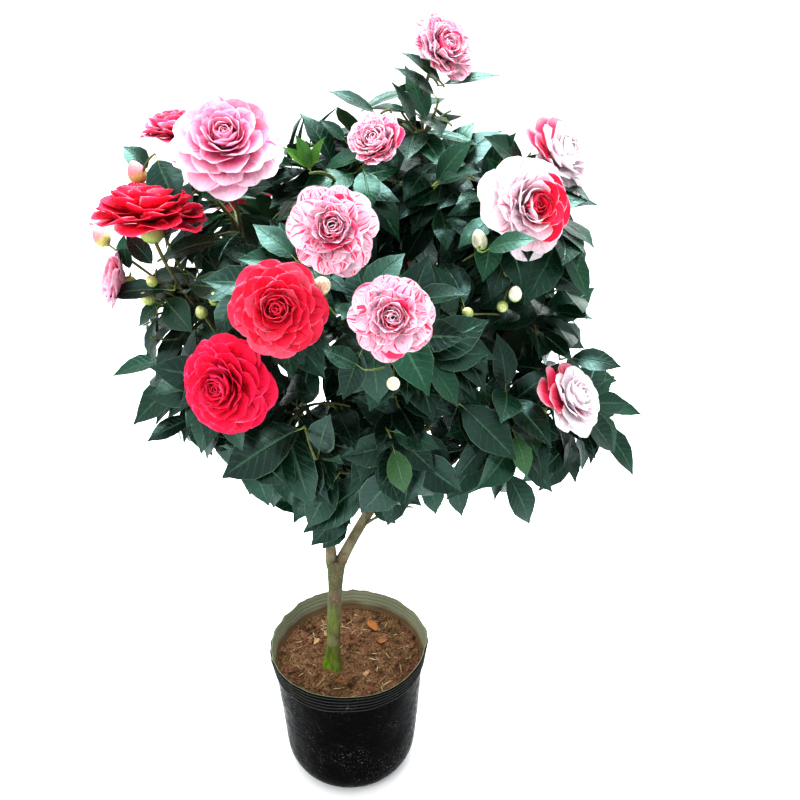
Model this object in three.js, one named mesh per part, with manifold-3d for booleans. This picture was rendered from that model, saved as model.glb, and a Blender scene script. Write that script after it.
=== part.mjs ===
import * as THREE from 'three';
import { mergeVertices } from 'three/addons/utils/BufferGeometryUtils.js';
import Module from 'manifold-3d';

// Camellia shrub in a soft black nursery pot. Millimetres, +Z up. The origin is the
// centre of the pot's flat underside, -Y is the shrub's front and +X its right.
// A trunk forks into two limbs, boughs leave the limbs, and each bough carries one
// mass of leafy shoots, blooms and buds that keeps to its own part of the crown.

const wasm = await Module();
wasm.setup();

// ---------------------------------------------------------------- driving dimensions

const GAP = 0.3;                    // clear space between neighbouring solids

const POT_HEIGHT = 208;
const POT_RIM_RADIUS = 110;
const POT_FOOT_RADIUS = 68;
const POT_WALL = 1.8;
const POT_FLOOR = 2.6;
const POT_BAND_HEIGHT = 30;         // ribbed band under the rim
const POT_RIBS = 2;
const POT_RIB_DEPTH = 1.3;
const POT_SIDES = 24;

const SOIL_LEVEL = 180;             // height of the ground the trunk stands on
const SOIL_DIP = 6;                 // the soil falls this far towards the pot's wall
const SOIL_FLAT_RADIUS = 42;

const TRUNK_FOOT = [-21, -22, SOIL_LEVEL];
const TRUNK_FORK = [-12, -10, 352];
const TRUNK_RADIUS = 9;             // half thickness halfway up
const TRUNK_FLARE = 5.2;            // extra radius where the roots start
const TRUNK_FLARE_LENGTH = 0.1;     // share of the trunk over which the flare fades
const TRUNK_ROOTS = 3;              // number of root swellings round the foot
const FORK_WIDEN = 0.175;           // extra radius where the trunk forks, as a share
const FORK_SPREAD = 6.6;            // distance of each limb's axis from the fork's middle

const CROWN_HEART = [36, 0, 650];   // point that all masses grow away from

const LEAF_LENGTH = 88;
const LEAF_WIDTH = 45;
const LEAF_KEEL = 2.2;              // depth of the midrib under the blade
const LEAF_STATIONS = [0.4, 0.72];  // where along its length the blade is measured
const LEAF_FULLNESS = [0.9, 0.8];   // width there as a share of the largest
const LEAF_RECURVE = 0.16;          // how far the tip bends down, as a share of length
const LEAVES_PER_SHOOT = 6;
// Swing in degrees and size that a leaf tries in turn before it is left out.
const LEAF_TRIES = [[0, 1], [45, 1], [-45, 1], [90, 1], [-90, 1], [120, 0.8], [-120, 0.8]];

const SHOOT_RADIUS = 2.1;
const SHOOT_TIP_RADIUS = 1.5;
const SHOOT_INSET = 46;             // distance from a shoot's tip to its mass's reach
const CROSSING = 0.3;               // shared space in mm3 from which two parts cross
const CELL_MARGIN = 0.4;            // distance a part keeps from its mass's boundary
const LIMB_CLEARANCE = 1.2;         // distance a leaf or twig keeps from any limb
const GOLDEN_ANGLE = Math.PI * (3 - Math.sqrt(5));

const STEM_STEPS = 3;               // straight lengths in a mass's leading shoot
const SHOOT_STEPS = 2;              // and in each other shoot
const BLOOM_PETALS = 5;             // petal tips on each ring of a bloom
const BUD_RADIUS = 7.5;

// Limbs, in the order they branch. at is the place along the parent, tip the far end,
// foot and end the radii, lift how much the limb starts along its parent's direction
// and up how strongly its end turns upwards.
const LIMBS = [
  { name: 'limb_left', parent: 'trunk', at: 1, side: -1, tip: [-58, 10, 610], foot: 7.2, end: 4.4,
    lift: 0.75, up: 0.3 },
  { name: 'limb_right', parent: 'trunk', at: 1, side: 1, tip: [122, 6, 640], foot: 7.4, end: 4.4,
    lift: 0, up: 0.7 },
  { name: 'leader', parent: 'limb_right', at: 0.93, tip: [96, -10, 884], foot: 4.2, end: 2.6,
    lift: 0.5, up: 0.5 },
  { name: 'bough_upper_centre', parent: 'limb_left', at: 0.9, tip: [-8, -30, 824], foot: 4, end: 2.6,
    lift: 0.5, up: 0.5 },
  { name: 'bough_upper_left', parent: 'limb_left', at: 0.96, tip: [-92, -46, 792], foot: 4, end: 2.6,
    lift: 0.6, up: 0.4 },
  { name: 'bough_left', parent: 'limb_left', at: 0.8, tip: [-124, -88, 716], foot: 4, end: 2.6,
    lift: 0.4, up: 0.2 },
  { name: 'bough_centre_left', parent: 'limb_left', at: 0.74, tip: [-42, -122, 752], foot: 3.8,
    end: 2.6, lift: 0.4, up: 0.4 },
  { name: 'bough_front_left', parent: 'limb_left', at: 0.56, tip: [-84, -122, 668], foot: 3.6,
    end: 2.6, lift: 0.4, up: 0.3 },
  { name: 'bough_lower_left', parent: 'limb_left', at: 0.46, tip: [-132, -48, 620], foot: 3.6,
    end: 2.6, lift: 0.3, up: 0.2 },
  { name: 'bough_low_front_left', parent: 'limb_left', at: 0.3, tip: [-26, -116, 628], foot: 3.4,
    end: 2.5, lift: 0.3, up: 0.2 },
  { name: 'bough_centre_front', parent: 'limb_right', at: 0.8, tip: [70, -138, 716], foot: 3.8,
    end: 2.6, lift: 0.4, up: 0.4 },
  { name: 'bough_upper_right', parent: 'limb_right', at: 0.96, tip: [194, -52, 792], foot: 4,
    end: 2.6, lift: 0.5, up: 0.4 },
  { name: 'bough_upper_mid', parent: 'leader', at: 0.35, tip: [122, 4, 822], foot: 3.4, end: 2.5,
    lift: 0.5, up: 0.4 },
  { name: 'bough_right', parent: 'limb_right', at: 0.84, tip: [198, -44, 694], foot: 4, end: 2.6,
    lift: 0.3, up: 0.2 },
  { name: 'bough_lower_right', parent: 'limb_right', at: 0.66, tip: [232, -64, 606], foot: 3.8,
    end: 2.6, lift: 0.3, up: 0.1 },
  { name: 'bough_low_right', parent: 'limb_right', at: 0.5, tip: [152, -100, 626], foot: 3.6,
    end: 2.5, lift: 0.3, up: 0.1 },
  { name: 'bough_low_front', parent: 'limb_right', at: 0.4, tip: [70, -122, 618], foot: 3.4,
    end: 2.5, lift: 0.3, up: 0.3 },
  { name: 'bough_low_centre', parent: 'limb_right', at: 0.22, tip: [-8, -84, 552], foot: 3.2,
    end: 2.5, lift: 0.2, up: 0.1 },
  { name: 'bough_back_left', parent: 'limb_left', at: 0.86, tip: [-88, 112, 716], foot: 4, end: 2.6,
    lift: 0.4, up: 0.3 },
  { name: 'bough_back_right', parent: 'limb_right', at: 0.76, tip: [188, 112, 706], foot: 4,
    end: 2.6, lift: 0.4, up: 0.3 },
  { name: 'bough_back_top', parent: 'limb_right', at: 0.88, tip: [66, 92, 780], foot: 4, end: 2.6,
    lift: 0.5, up: 0.5 },
  { name: 'bough_back_low', parent: 'limb_left', at: 0.62, tip: [44, 128, 600], foot: 3.6, end: 2.6,
    lift: 0.3, up: 0.3 },
];

// Masses of foliage: the bough that carries each, how far its leaves reach from the
// bough's tip and how many leafy shoots it has.
const MASSES = [
  { name: 'leaves_top', bough: 'leader', reach: 82, shoots: 4 },
  { name: 'leaves_upper_centre', bough: 'bough_upper_centre', reach: 104, shoots: 5 },
  { name: 'leaves_upper_left', bough: 'bough_upper_left', reach: 104, shoots: 4 },
  { name: 'leaves_left', bough: 'bough_left', reach: 88, shoots: 5 },
  { name: 'leaves_centre_left', bough: 'bough_centre_left', reach: 104, shoots: 5 },
  { name: 'leaves_front_left', bough: 'bough_front_left', reach: 104, shoots: 6 },
  { name: 'leaves_lower_left', bough: 'bough_lower_left', reach: 92, shoots: 4 },
  { name: 'leaves_low_front_left', bough: 'bough_low_front_left', reach: 112, shoots: 6 },
  { name: 'leaves_centre_front', bough: 'bough_centre_front', reach: 104, shoots: 4 },
  { name: 'leaves_upper_right', bough: 'bough_upper_right', reach: 104, shoots: 4 },
  { name: 'leaves_upper_mid', bough: 'bough_upper_mid', reach: 96, shoots: 5 },
  { name: 'leaves_right', bough: 'bough_right', reach: 102, shoots: 5 },
  { name: 'leaves_lower_right', bough: 'bough_lower_right', reach: 98, shoots: 4 },
  { name: 'leaves_low_right', bough: 'bough_low_right', reach: 116, shoots: 6 },
  { name: 'leaves_low_front', bough: 'bough_low_front', reach: 104, shoots: 5 },
  { name: 'leaves_low_centre', bough: 'bough_low_centre', reach: 84, shoots: 4 },
  { name: 'leaves_back_left', bough: 'bough_back_left', reach: 116, shoots: 4 },
  { name: 'leaves_back_right', bough: 'bough_back_right', reach: 116, shoots: 4 },
  { name: 'leaves_back_top', bough: 'bough_back_top', reach: 112, shoots: 4 },
  { name: 'leaves_back_low', bough: 'bough_back_low', reach: 116, shoots: 4 },
];

// Blooms: the mass that bears each, its centre, its width, the heading and rise in
// degrees of the way it faces (heading 0 is the front, positive to the right) and how
// far its petals still stand up, from 0 for a flat open rosette to 1 for a ball.
const BLOOMS = [
  { mass: 'leaves_upper_left', centre: [-88, -120, 905], width: 98, heading: 8, rise: 32, cup: 0.1 },
  { mass: 'leaves_upper_left', centre: [-166, -40, 914], width: 84, heading: -60, rise: 42, cup: 0.3 },
  { mass: 'leaves_left', centre: [-165, -118, 846], width: 106, heading: -25, rise: 66, cup: 0.1 },
  { mass: 'leaves_left', centre: [-214, -100, 768], width: 60, heading: -75, rise: 15, cup: 0.5 },
  { mass: 'leaves_centre_left', centre: [16, -228, 854], width: 76, heading: 8, rise: 24, cup: 0.3 },
  { mass: 'leaves_centre_left', centre: [-33, -236, 787], width: 82, heading: 4, rise: 20, cup: 0.2 },
  { mass: 'leaves_front_left', centre: [-85, -220, 707], width: 84, heading: -22, rise: 14, cup: 0.2 },
  { mass: 'leaves_centre_front', centre: [65, -256, 786], width: 72, heading: 4, rise: 24, cup: 0.3 },
  { mass: 'leaves_upper_centre', centre: [50, -120, 910], width: 52, heading: -30, rise: 30, cup: 0.9 },
  { mass: 'leaves_top', centre: [116, -20, 984], width: 70, heading: 60, rise: 20, cup: 0.6 },
  { mass: 'leaves_upper_right', centre: [192, -138, 851], width: 82, heading: 34, rise: 18, cup: 0.2 },
  { mass: 'leaves_upper_right', centre: [232, -60, 884], width: 84, heading: 50, rise: 35, cup: 0.3 },
  { mass: 'leaves_lower_right', centre: [250, -140, 656], width: 78, heading: 52, rise: 34, cup: 0.2 },
  { mass: 'leaves_back_left', centre: [-130, 190, 800], width: 92, heading: 215, rise: 25, cup: 0.2 },
  { mass: 'leaves_back_top', centre: [70, 196, 836], width: 88, heading: 180, rise: 30, cup: 0.2 },
  { mass: 'leaves_back_right', centre: [230, 190, 770], width: 86, heading: 145, rise: 20, cup: 0.3 },
  { mass: 'leaves_back_low', centre: [60, 238, 690], width: 84, heading: 178, rise: 12, cup: 0.2 },
];

// Closed and opening buds: the mass that bears each, its middle and its size.
const BUDS = [
  { mass: 'leaves_left', centre: [-166, -96, 886], scale: 1.5 },
  { mass: 'leaves_left', centre: [-232, -80, 806], scale: 1.6 },
];

const LEAF_GREEN = 0x2b4f32;
const BARK_GREY = 0x6b6451;
const SOIL_BROWN = 0x7b5c46;
const POT_BLACK = 0x151515;

// ------------------------------------------------------------------- vectors and chance

const UP = new THREE.Vector3(0, 0, 1);
const vector = (list) => new THREE.Vector3(...list);
const radians = THREE.MathUtils.degToRad;

// Mulberry32: a small repeatable stream of numbers from 0 to 1.
function seeded(seed) {
  let state = seed;
  return () => {
    state = (state + 0x6d2b79f5) | 0;
    let mixed = Math.imul(state ^ (state >>> 15), 1 | state);
    mixed = (mixed + Math.imul(mixed ^ (mixed >>> 7), 61 | mixed)) ^ mixed;
    return ((mixed ^ (mixed >>> 14)) >>> 0) / 4294967296;
  };
}

// Two directions square to a given one, the same for every part that asks.
function sideways(direction) {
  const reference = Math.abs(direction.z) > 0.9 ? new THREE.Vector3(1, 0, 0) : UP;
  const first = new THREE.Vector3().crossVectors(reference, direction).normalize();
  return [first, new THREE.Vector3().crossVectors(direction, first)];
}

// The part of one vector that is square to another, at unit length.
function squared(to, along) {
  return to.clone().addScaledVector(along, -to.dot(along)).normalize();
}

// ------------------------------------------------------------------------ solid helpers

// A solid from a closed three.js geometry, whose seam corners are merged.
function solid(geometry) {
  const bare = new THREE.BufferGeometry();
  bare.setAttribute('position', geometry.getAttribute('position'));
  bare.setIndex(geometry.getIndex());
  const merged = mergeVertices(bare, 1e-4);
  return new wasm.Manifold(new wasm.Mesh({
    numProp: 3,
    vertProperties: new Float32Array(merged.getAttribute('position').array),
    triVerts: new Uint32Array(merged.getIndex().array),
  }));
}

// Moves every corner of a geometry to the place that a function gives for it.
function reshaped(geometry, place) {
  const position = geometry.getAttribute('position');
  const corner = new THREE.Vector3();
  for (let i = 0; i < position.count; i += 1) {
    corner.fromBufferAttribute(position, i);
    const moved = place(corner);
    position.setXYZ(i, moved.x, moved.y, moved.z);
  }
  return geometry;
}

// A cylinder bent along a curve, with its radius given by a function of the share of
// the way along and of the angle round the axis.
function bentCylinder(curve, radius, sides, steps) {
  const frames = curve.computeFrenetFrames(steps, false);
  const cylinder = new THREE.CylinderGeometry(1, 1, 1, sides, steps);
  return reshaped(cylinder, (corner) => {
    const step = Math.round((corner.y + 0.5) * steps);
    const share = step / steps;
    const size = radius(share, Math.atan2(corner.z, corner.x));
    return curve.getPointAt(share)
      .addScaledVector(frames.binormals[step], corner.x * size)
      .addScaledVector(frames.normals[step], corner.z * size);
  });
}

// The largest outer body of a solid: loose scraps and sealed hollows are left out.
function mainBody(whole) {
  const bodies = whole.decompose();
  return bodies.reduce((best, body) => (body.volume() > best.volume() ? body : best));
}

// A named mesh from a solid.
function meshOf(name, body, colour, roughness) {
  const { vertProperties, triVerts } = body.getMesh();
  const geometry = new THREE.BufferGeometry();
  geometry.setAttribute('position', new THREE.BufferAttribute(new Float32Array(vertProperties), 3));
  geometry.setIndex(new THREE.BufferAttribute(new Uint32Array(triVerts), 1));
  geometry.computeVertexNormals();
  const material = new THREE.MeshStandardMaterial({ color: colour, roughness, metalness: 0 });
  const mesh = new THREE.Mesh(geometry, material);
  mesh.name = name;
  return mesh;
}

// ---------------------------------------------------------------------- pot and its soil

// Outer radius of the pot's plain body at a height: a rounded foot, then a slow taper.
function potRadius(height) {
  const rounding = 24 * (1 - Math.exp(-height / 11));
  const taper = ((POT_RIM_RADIUS - 30 - POT_FOOT_RADIUS) * height) / (POT_HEIGHT - POT_BAND_HEIGHT);
  return POT_FOOT_RADIUS + rounding + taper;
}

function potShell() {
  const bandFoot = POT_HEIGHT - POT_BAND_HEIGHT;
  const outer = [0, 4, 12, 28, 60, bandFoot].map((z) => [potRadius(z), z]);
  const bandRadius = potRadius(bandFoot) + 2;
  const pitch = (POT_BAND_HEIGHT - 4) / POT_RIBS;
  for (let rib = 0; rib < POT_RIBS; rib += 1) {
    const foot = bandFoot + 1 + rib * pitch;
    const flare = bandRadius + (rib * (POT_RIM_RADIUS - bandRadius)) / POT_RIBS;
    outer.push([flare - POT_RIB_DEPTH, foot], [flare, foot + pitch * 0.5]);
  }
  outer.push([POT_RIM_RADIUS - POT_RIB_DEPTH, POT_HEIGHT - 3], [POT_RIM_RADIUS, POT_HEIGHT]);
  const inner = [POT_FLOOR, 12, 28, 60, bandFoot].map((z) => [potRadius(z) - POT_WALL, z]);
  inner.push([POT_RIM_RADIUS - POT_WALL - POT_RIB_DEPTH, POT_HEIGHT]);
  const profile = [[0, 0], ...outer, ...inner.reverse(), [0, POT_FLOOR]];
  return lathed(profile);
}

// A lathe round the vertical axis from a profile of radius and height pairs.
function lathed(profile) {
  const points = profile.map(([radius, height]) => new THREE.Vector2(radius, height));
  const turned = new THREE.LatheGeometry(points, POT_SIDES);
  turned.rotateX(Math.PI / 2);
  return solid(turned);
}

function soilBody() {
  const clear = POT_WALL + GAP;
  const heights = [POT_FLOOR + GAP, 12, 28, 60, SOIL_LEVEL - GAP - SOIL_DIP];
  const wall = heights.map((z) => [potRadius(z) - clear - 0.2, z]);
  const crown = SOIL_LEVEL - GAP;
  const top = [[SOIL_FLAT_RADIUS + 30, crown - SOIL_DIP / 2], [SOIL_FLAT_RADIUS, crown], [0, crown]];
  return lathed([[0, POT_FLOOR + GAP], ...wall, ...top]);
}

// ---------------------------------------------------------------------- trunk and limbs

// The trunk's axis: straight up out of the ground, then leaning to the fork.
function trunkAxis() {
  const foot = vector(TRUNK_FOOT);
  const fork = vector(TRUNK_FORK);
  const height = fork.z - foot.z;
  const low = foot.clone().addScaledVector(UP, height * 0.35);
  const high = fork.clone().add(new THREE.Vector3(-3, -1, -height * 0.3));
  return new THREE.CubicBezierCurve3(foot, low, high, fork);
}

function trunkRadius(share, angle) {
  const fade = Math.exp(-share / TRUNK_FLARE_LENGTH);
  const roots = 1 + 0.16 * fade * Math.cos(TRUNK_ROOTS * angle + 0.6);
  const fork = Math.max(0, (share - 0.72) / 0.28);
  return (TRUNK_RADIUS + TRUNK_FLARE * fade) * roots * (1 + FORK_WIDEN * fork);
}

// A limb's axis: it leaves its parent part of the way along the parent's direction and
// ends turned somewhat upwards.
function limbAxis(limb, parentAxis) {
  const foot = parentAxis.getPoint(limb.at);
  if (limb.side) {
    foot.x += limb.side * FORK_SPREAD;
    foot.z += GAP;
  }
  const tip = vector(limb.tip);
  const span = tip.clone().sub(foot);
  const length = span.length();
  span.normalize();
  const start = span.clone().lerp(parentAxis.getTangent(limb.at), limb.lift).normalize();
  const finish = span.clone().lerp(UP, limb.up).normalize();
  const low = foot.clone().addScaledVector(start, length * 0.36);
  const high = tip.clone().addScaledVector(finish, -length * 0.36);
  return new THREE.CubicBezierCurve3(foot, low, high, tip);
}

function limbRadius(limb, share) {
  return limb.end + (limb.foot - limb.end) * (1 - share) ** 1.2;
}

function limbSolid(limb, extra) {
  const sides = limb.side ? 8 : 5;
  const steps = limb.side ? 7 : 4;
  return solid(bentCylinder(limb.axis, (share) => limbRadius(limb, share) + extra, sides, steps));
}

function trunkSolid(axis, extra) {
  return solid(bentCylinder(axis, (share, angle) => trunkRadius(share, angle) + extra, 10, 9));
}

// ------------------------------------------------------------------- shares of the crown

// A point's place among the sites of all masses: how far inside its mass's space it is.
// Each site is a centre with a radius; two sites part at the plane where the squared
// distances less the squared radii are equal, so every share is a convex cell.
function depthInside(point, { sites, mass }) {
  let own = null;
  let ownPower = Infinity;
  for (const site of sites) {
    const power = point.distanceToSquared(site.centre) - site.radius ** 2;
    if (site.mass === mass && power < ownPower) {
      ownPower = power;
      own = site;
    }
  }
  let depth = Infinity;
  for (const site of sites) {
    if (site.mass !== mass) {
      const power = point.distanceToSquared(site.centre) - site.radius ** 2;
      depth = Math.min(depth, (power - ownPower) / (2 * site.centre.distanceTo(own.centre)));
    }
  }
  return depth;
}

// Points along every limb's axis with the limb's radius there.
function limbBeads(limbs) {
  const beads = [];
  for (const limb of limbs) {
    const count = Math.ceil(limb.axis.getLength() / 4);
    for (let i = 0; i <= count; i += 1) {
      const share = i / count;
      beads.push({ centre: limb.axis.getPoint(share), radius: limbRadius(limb, share) });
    }
  }
  return beads;
}

// ------------------------------------------------------------------ leaves, blooms, buds

// The frame of a leaf: its root, the way it points, across the blade and out of it.
function leafFrame(root, direction, facing, length) {
  const normal = squared(facing, direction);
  const across = new THREE.Vector3().crossVectors(direction, normal);
  return { root, direction, normal, across, length, width: (LEAF_WIDTH * length) / LEAF_LENGTH };
}

// A point of a leaf from its share of the length, its side and its height off the blade.
function leafPoint(leaf, share, side, height) {
  return leaf.root.clone()
    .addScaledVector(leaf.direction, leaf.length * share)
    .addScaledVector(leaf.across, side)
    .addScaledVector(leaf.normal, height - LEAF_RECURVE * leaf.length * share * share);
}

// Twelve faces: a blade with two measured stations between its root and its tip, flat
// above and keeled along the midrib below.
function leafSolid(leaf) {
  const blade = new THREE.SphereGeometry(1, 3, 3);
  return solid(reshaped(blade, (corner) => {
    const station = Math.round((1 - corner.y) * 2);
    if (station === 0) {
      return leafPoint(leaf, 0, 0, 0);
    }
    if (station === 4) {
      return leafPoint(leaf, 1, 0, 0);
    }
    const index = station < 2 ? 0 : 1;
    const share = LEAF_STATIONS[index];
    if (corner.x < -0.5) {
      return leafPoint(leaf, share, 0, -LEAF_KEEL);
    }
    const half = 0.5 * leaf.width * LEAF_FULLNESS[index];
    return leafPoint(leaf, share, Math.sign(corner.z) * half, 0.08 * half);
  }));
}

// Whether a leaf stays inside its mass's space and clear of the limbs.
function leafFits(leaf, space) {
  const half = leaf.width / 2;
  for (const [share, side] of [[0, 0], [0.4, -half], [0.4, half], [0.72, -half], [0.72, half], [1, 0]]) {
    if (depthInside(leafPoint(leaf, share, side, 0), space) < CELL_MARGIN + LEAF_KEEL) {
      return false;
    }
  }
  const offset = new THREE.Vector3();
  return space.beads.every((bead) => {
    offset.subVectors(bead.centre, leaf.root);
    const reach = bead.radius + LIMB_CLEARANCE;
    const along = offset.dot(leaf.direction);
    const share = Math.min(1, Math.max(0, along / leaf.length));
    const height = offset.dot(leaf.normal) + LEAF_RECURVE * leaf.length * share * share;
    return along < -reach || along > leaf.length + reach
      || Math.abs(offset.dot(leaf.across)) > half + reach || Math.abs(height) > LEAF_KEEL + 2 + reach;
  });
}

// The way a bloom faces, from its heading and rise.
function facingOf(bloom) {
  const heading = radians(bloom.heading);
  const rise = radians(bloom.rise);
  const level = new THREE.Vector3(Math.sin(heading), -Math.cos(heading), 0);
  return level.multiplyScalar(Math.cos(rise)).addScaledVector(UP, Math.sin(rise));
}

// Radius and height of a bloom's rings from its heart to its back, as shares of its half
// width: the heart, two tiers of petal tips with the hollow between them, the back.
function bloomRings(cup) {
  const rim = 1 - 0.25 * cup;
  return [
    [0, 0.3 + 0.4 * cup], [0.46 * rim, 0.34 + 0.4 * cup], [0.5 * rim, 0.08 + 0.3 * cup],
    [rim, 0.14 + 0.2 * cup], [0.4, -0.3], [0, -0.42],
  ];
}

// A bloom is one closed surface of revolution whose tiers of petals are scalloped.
function bloomSolid(bloom) {
  const facing = facingOf(bloom);
  const [first, second] = sideways(facing);
  const rings = bloomRings(bloom.cup);
  const last = rings.length - 1;
  const half = bloom.width / 2;
  const globe = new THREE.SphereGeometry(1, BLOOM_PETALS * 2, last);
  return solid(reshaped(globe, (corner) => {
    const ring = Math.round((Math.acos(THREE.MathUtils.clamp(corner.y, -1, 1)) / Math.PI) * last);
    const angle = Math.atan2(corner.z, corner.x);
    const wave = Math.cos(BLOOM_PETALS * angle + (ring < 3 ? 0 : Math.PI));
    const scallop = ring < 4 ? 1 + 0.09 * wave : 1;
    const [radius, height] = rings[ring];
    return vector(bloom.centre)
      .addScaledVector(first, Math.cos(angle) * radius * scallop * half)
      .addScaledVector(second, -Math.sin(angle) * radius * scallop * half)
      .addScaledVector(facing, height * half);
  }));
}

function budSolid(bud) {
  const size = BUD_RADIUS * bud.scale;
  const [first, second] = sideways(bud.facing);
  const egg = new THREE.SphereGeometry(size, 6, 4);
  return solid(reshaped(egg, (corner) => vector(bud.centre)
    .addScaledVector(first, corner.x)
    .addScaledVector(second, -corner.z)
    .addScaledVector(bud.facing, corner.y * 1.25)));
}

// ---------------------------------------------------------------------- growing a mass

// A shoot: a curve that swings from its start towards its end.
function shootCurve(start, end, lead) {
  const length = start.distanceTo(end);
  const bend = start.clone().lerp(end, 0.5).addScaledVector(lead, 0.22 * length);
  return new THREE.QuadraticBezierCurve3(start, bend, end);
}

// The straight lengths that a bent cylinder of this many steps has for its axis. What
// grows from a twig is rooted on these, so it always starts inside the twig.
function facetedAxis(curve, steps) {
  const path = new THREE.CurvePath();
  for (let step = 0; step < steps; step += 1) {
    path.add(new THREE.LineCurve3(curve.getPointAt(step / steps), curve.getPointAt((step + 1) / steps)));
  }
  return path;
}

function shootFits(curve, space) {
  const { beads } = space;
  for (let i = 1; i <= 8; i += 1) {
    const point = curve.getPoint(i / 8);
    if (depthInside(point, space) < CELL_MARGIN + SHOOT_RADIUS) {
      return false;
    }
    for (let j = 0; j < beads.length && i > 1; j += 1) {
      if (beads[j].centre.distanceTo(point) < beads[j].radius + SHOOT_RADIUS + LIMB_CLEARANCE) {
        return false;
      }
    }
  }
  return true;
}

// Whether two solids share more space than is allowed.
function crosses(one, other, allowed) {
  const a = one.boundingBox();
  const b = other.boundingBox();
  const apart = [0, 1, 2].some((k) => a.min[k] > b.max[k] || b.min[k] > a.max[k]);
  return !apart && one.intersect(other).volume() > allowed;
}

// The leaves along a shoot: they wind round it by the golden angle, open wider near its
// foot, droop a little and turn their faces up and away from the crown's heart. All
// chance numbers are drawn before any test, so a skipped leaf changes no other. placed
// holds the parts of the leaf's own mass and foreign the twigs and blooms of the others.
function shootLeaves(shoot, { random, outward, placed }, foreign, space) {
  const first = random() * Math.PI * 2;
  for (let i = 0; i < LEAVES_PER_SHOOT; i += 1) {
    const [turn, open, size, sag] = [random(), random(), random(), random()];
    const rank = i / (LEAVES_PER_SHOOT - 1);
    const share = 0.34 + 0.64 * rank ** 0.8;
    const root = shoot.axis.getPoint(share);
    const along = shoot.curve.getTangentAt(share).normalize();
    const [e1, e2] = sideways(along);
    const tilt = radians(72 - 34 * rank + (open - 0.5) * 16);
    const length = LEAF_LENGTH * (0.84 + 0.3 * size);
    for (const [swing, scale] of LEAF_TRIES) {
      const angle = first + i * GOLDEN_ANGLE + (turn - 0.5) * 0.5 + radians(swing);
      const direction = along.clone().multiplyScalar(Math.cos(tilt))
        .addScaledVector(e1, Math.sin(tilt) * Math.cos(angle))
        .addScaledVector(e2, Math.sin(tilt) * Math.sin(angle))
        .addScaledVector(UP, -0.08 - 0.28 * sag)
        .normalize();
      const facing = UP.clone().multiplyScalar(0.8).addScaledVector(outward, 0.6)
        .addScaledVector(along, 0.45);
      const leaf = leafFrame(root, direction, facing, length * scale);
      if (leafFits(leaf, space)) {
        const body = leafSolid(leaf);
        const free = placed.every((other) => other === shoot.body || !crosses(body, other, CROSSING));
        if (free && foreign.every((other) => !crosses(body, other, 0))) {
          placed.push(body);
          break;
        }
      }
    }
  }
}

// The twigs, blooms and buds of a mass: a leading shoot that runs on from the bough and
// all the others branching from it.
function massFrame(mass, index, bough, space) {
  const random = seeded(1000 + 17 * index);
  const tip = vector(bough.tip);
  const lead = bough.axis.getTangent(1).normalize();
  const outward = tip.clone().sub(vector(CROWN_HEART)).normalize();
  const [e1, e2] = sideways(outward);
  const start = tip.clone().addScaledVector(lead, GAP);

  const aims = [];
  for (let i = 0; i < mass.shoots; i += 1) {
    const [turn, lean, stretch] = [random(), random(), random()];
    const angle = i * GOLDEN_ANGLE + (turn - 0.5) * 0.6 + index;
    const tilt = radians(12 + 92 * Math.sqrt(i / mass.shoots) + (lean - 0.5) * 16);
    const direction = outward.clone().multiplyScalar(Math.cos(tilt))
      .addScaledVector(e1, Math.sin(tilt) * Math.cos(angle))
      .addScaledVector(e2, Math.sin(tilt) * Math.sin(angle));
    aims.push(tip.clone().addScaledVector(direction, (mass.reach - SHOOT_INSET) * (0.9 + 0.2 * stretch)));
  }
  const knee = start.clone().addScaledVector(lead, 0.4 * start.distanceTo(aims[0]));
  const stem = new THREE.QuadraticBezierCurve3(start, knee, aims[0]);
  const stemAxis = facetedAxis(stem, STEM_STEPS);
  const shoots = [{ curve: stem, axis: stemAxis }];
  const heads = [];
  const bearers = [];
  for (const bloom of BLOOMS.filter((each) => each.mass === mass.name)) {
    const facing = facingOf(bloom);
    bearers.push({ end: vector(bloom.centre).addScaledVector(facing, -0.15 * bloom.width), facing });
    heads.push(bloomSolid(bloom));
  }
  for (const bud of BUDS.filter((each) => each.mass === mass.name)) {
    const facing = vector(bud.centre).sub(start).normalize();
    bearers.push({ end: vector(bud.centre), facing });
    heads.push(budSolid({ ...bud, facing }));
  }
  const branches = bearers.length + mass.shoots - 1;
  bearers.forEach((bearer, i) => {
    const foot = stemAxis.getPoint(0.08 + (0.5 * i) / branches);
    const curve = shootCurve(foot, bearer.end, lead.clone().addScaledVector(bearer.facing, -1));
    shoots.push({ curve, axis: facetedAxis(curve, SHOOT_STEPS) });
  });
  for (let i = 1; i < mass.shoots; i += 1) {
    const foot = stemAxis.getPoint(0.08 + (0.5 * (bearers.length + i - 1)) / branches);
    const curve = shootCurve(foot, aims[i], lead);
    if (shootFits(curve, space)) {
      shoots.push({ curve, axis: facetedAxis(curve, SHOOT_STEPS) });
    }
  }
  shoots.forEach((shoot, i) => {
    const foot = i === 0 ? bough.end : SHOOT_RADIUS;
    const radius = (share) => foot + (SHOOT_TIP_RADIUS - foot) * share;
    shoot.body = solid(bentCylinder(shoot.curve, radius, 3, i === 0 ? STEM_STEPS : SHOOT_STEPS));
  });
  return { shoots, random, outward, placed: [...heads, ...shoots.map((shoot) => shoot.body)] };
}

// ---------------------------------------------------------------------------- assembly

const shrub = new THREE.Group();
shrub.name = 'camellia_shrub';
shrub.add(meshOf('pot', potShell(), POT_BLACK, 0.5));
shrub.add(meshOf('soil', soilBody(), SOIL_BROWN, 0.95));

const axes = { trunk: trunkAxis() };
for (const limb of LIMBS) {
  limb.axis = limbAxis(limb, axes[limb.parent]);
  axes[limb.name] = limb.axis;
}

shrub.add(meshOf('trunk', trunkSolid(axes.trunk, 0), BARK_GREY, 0.85));

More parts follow.
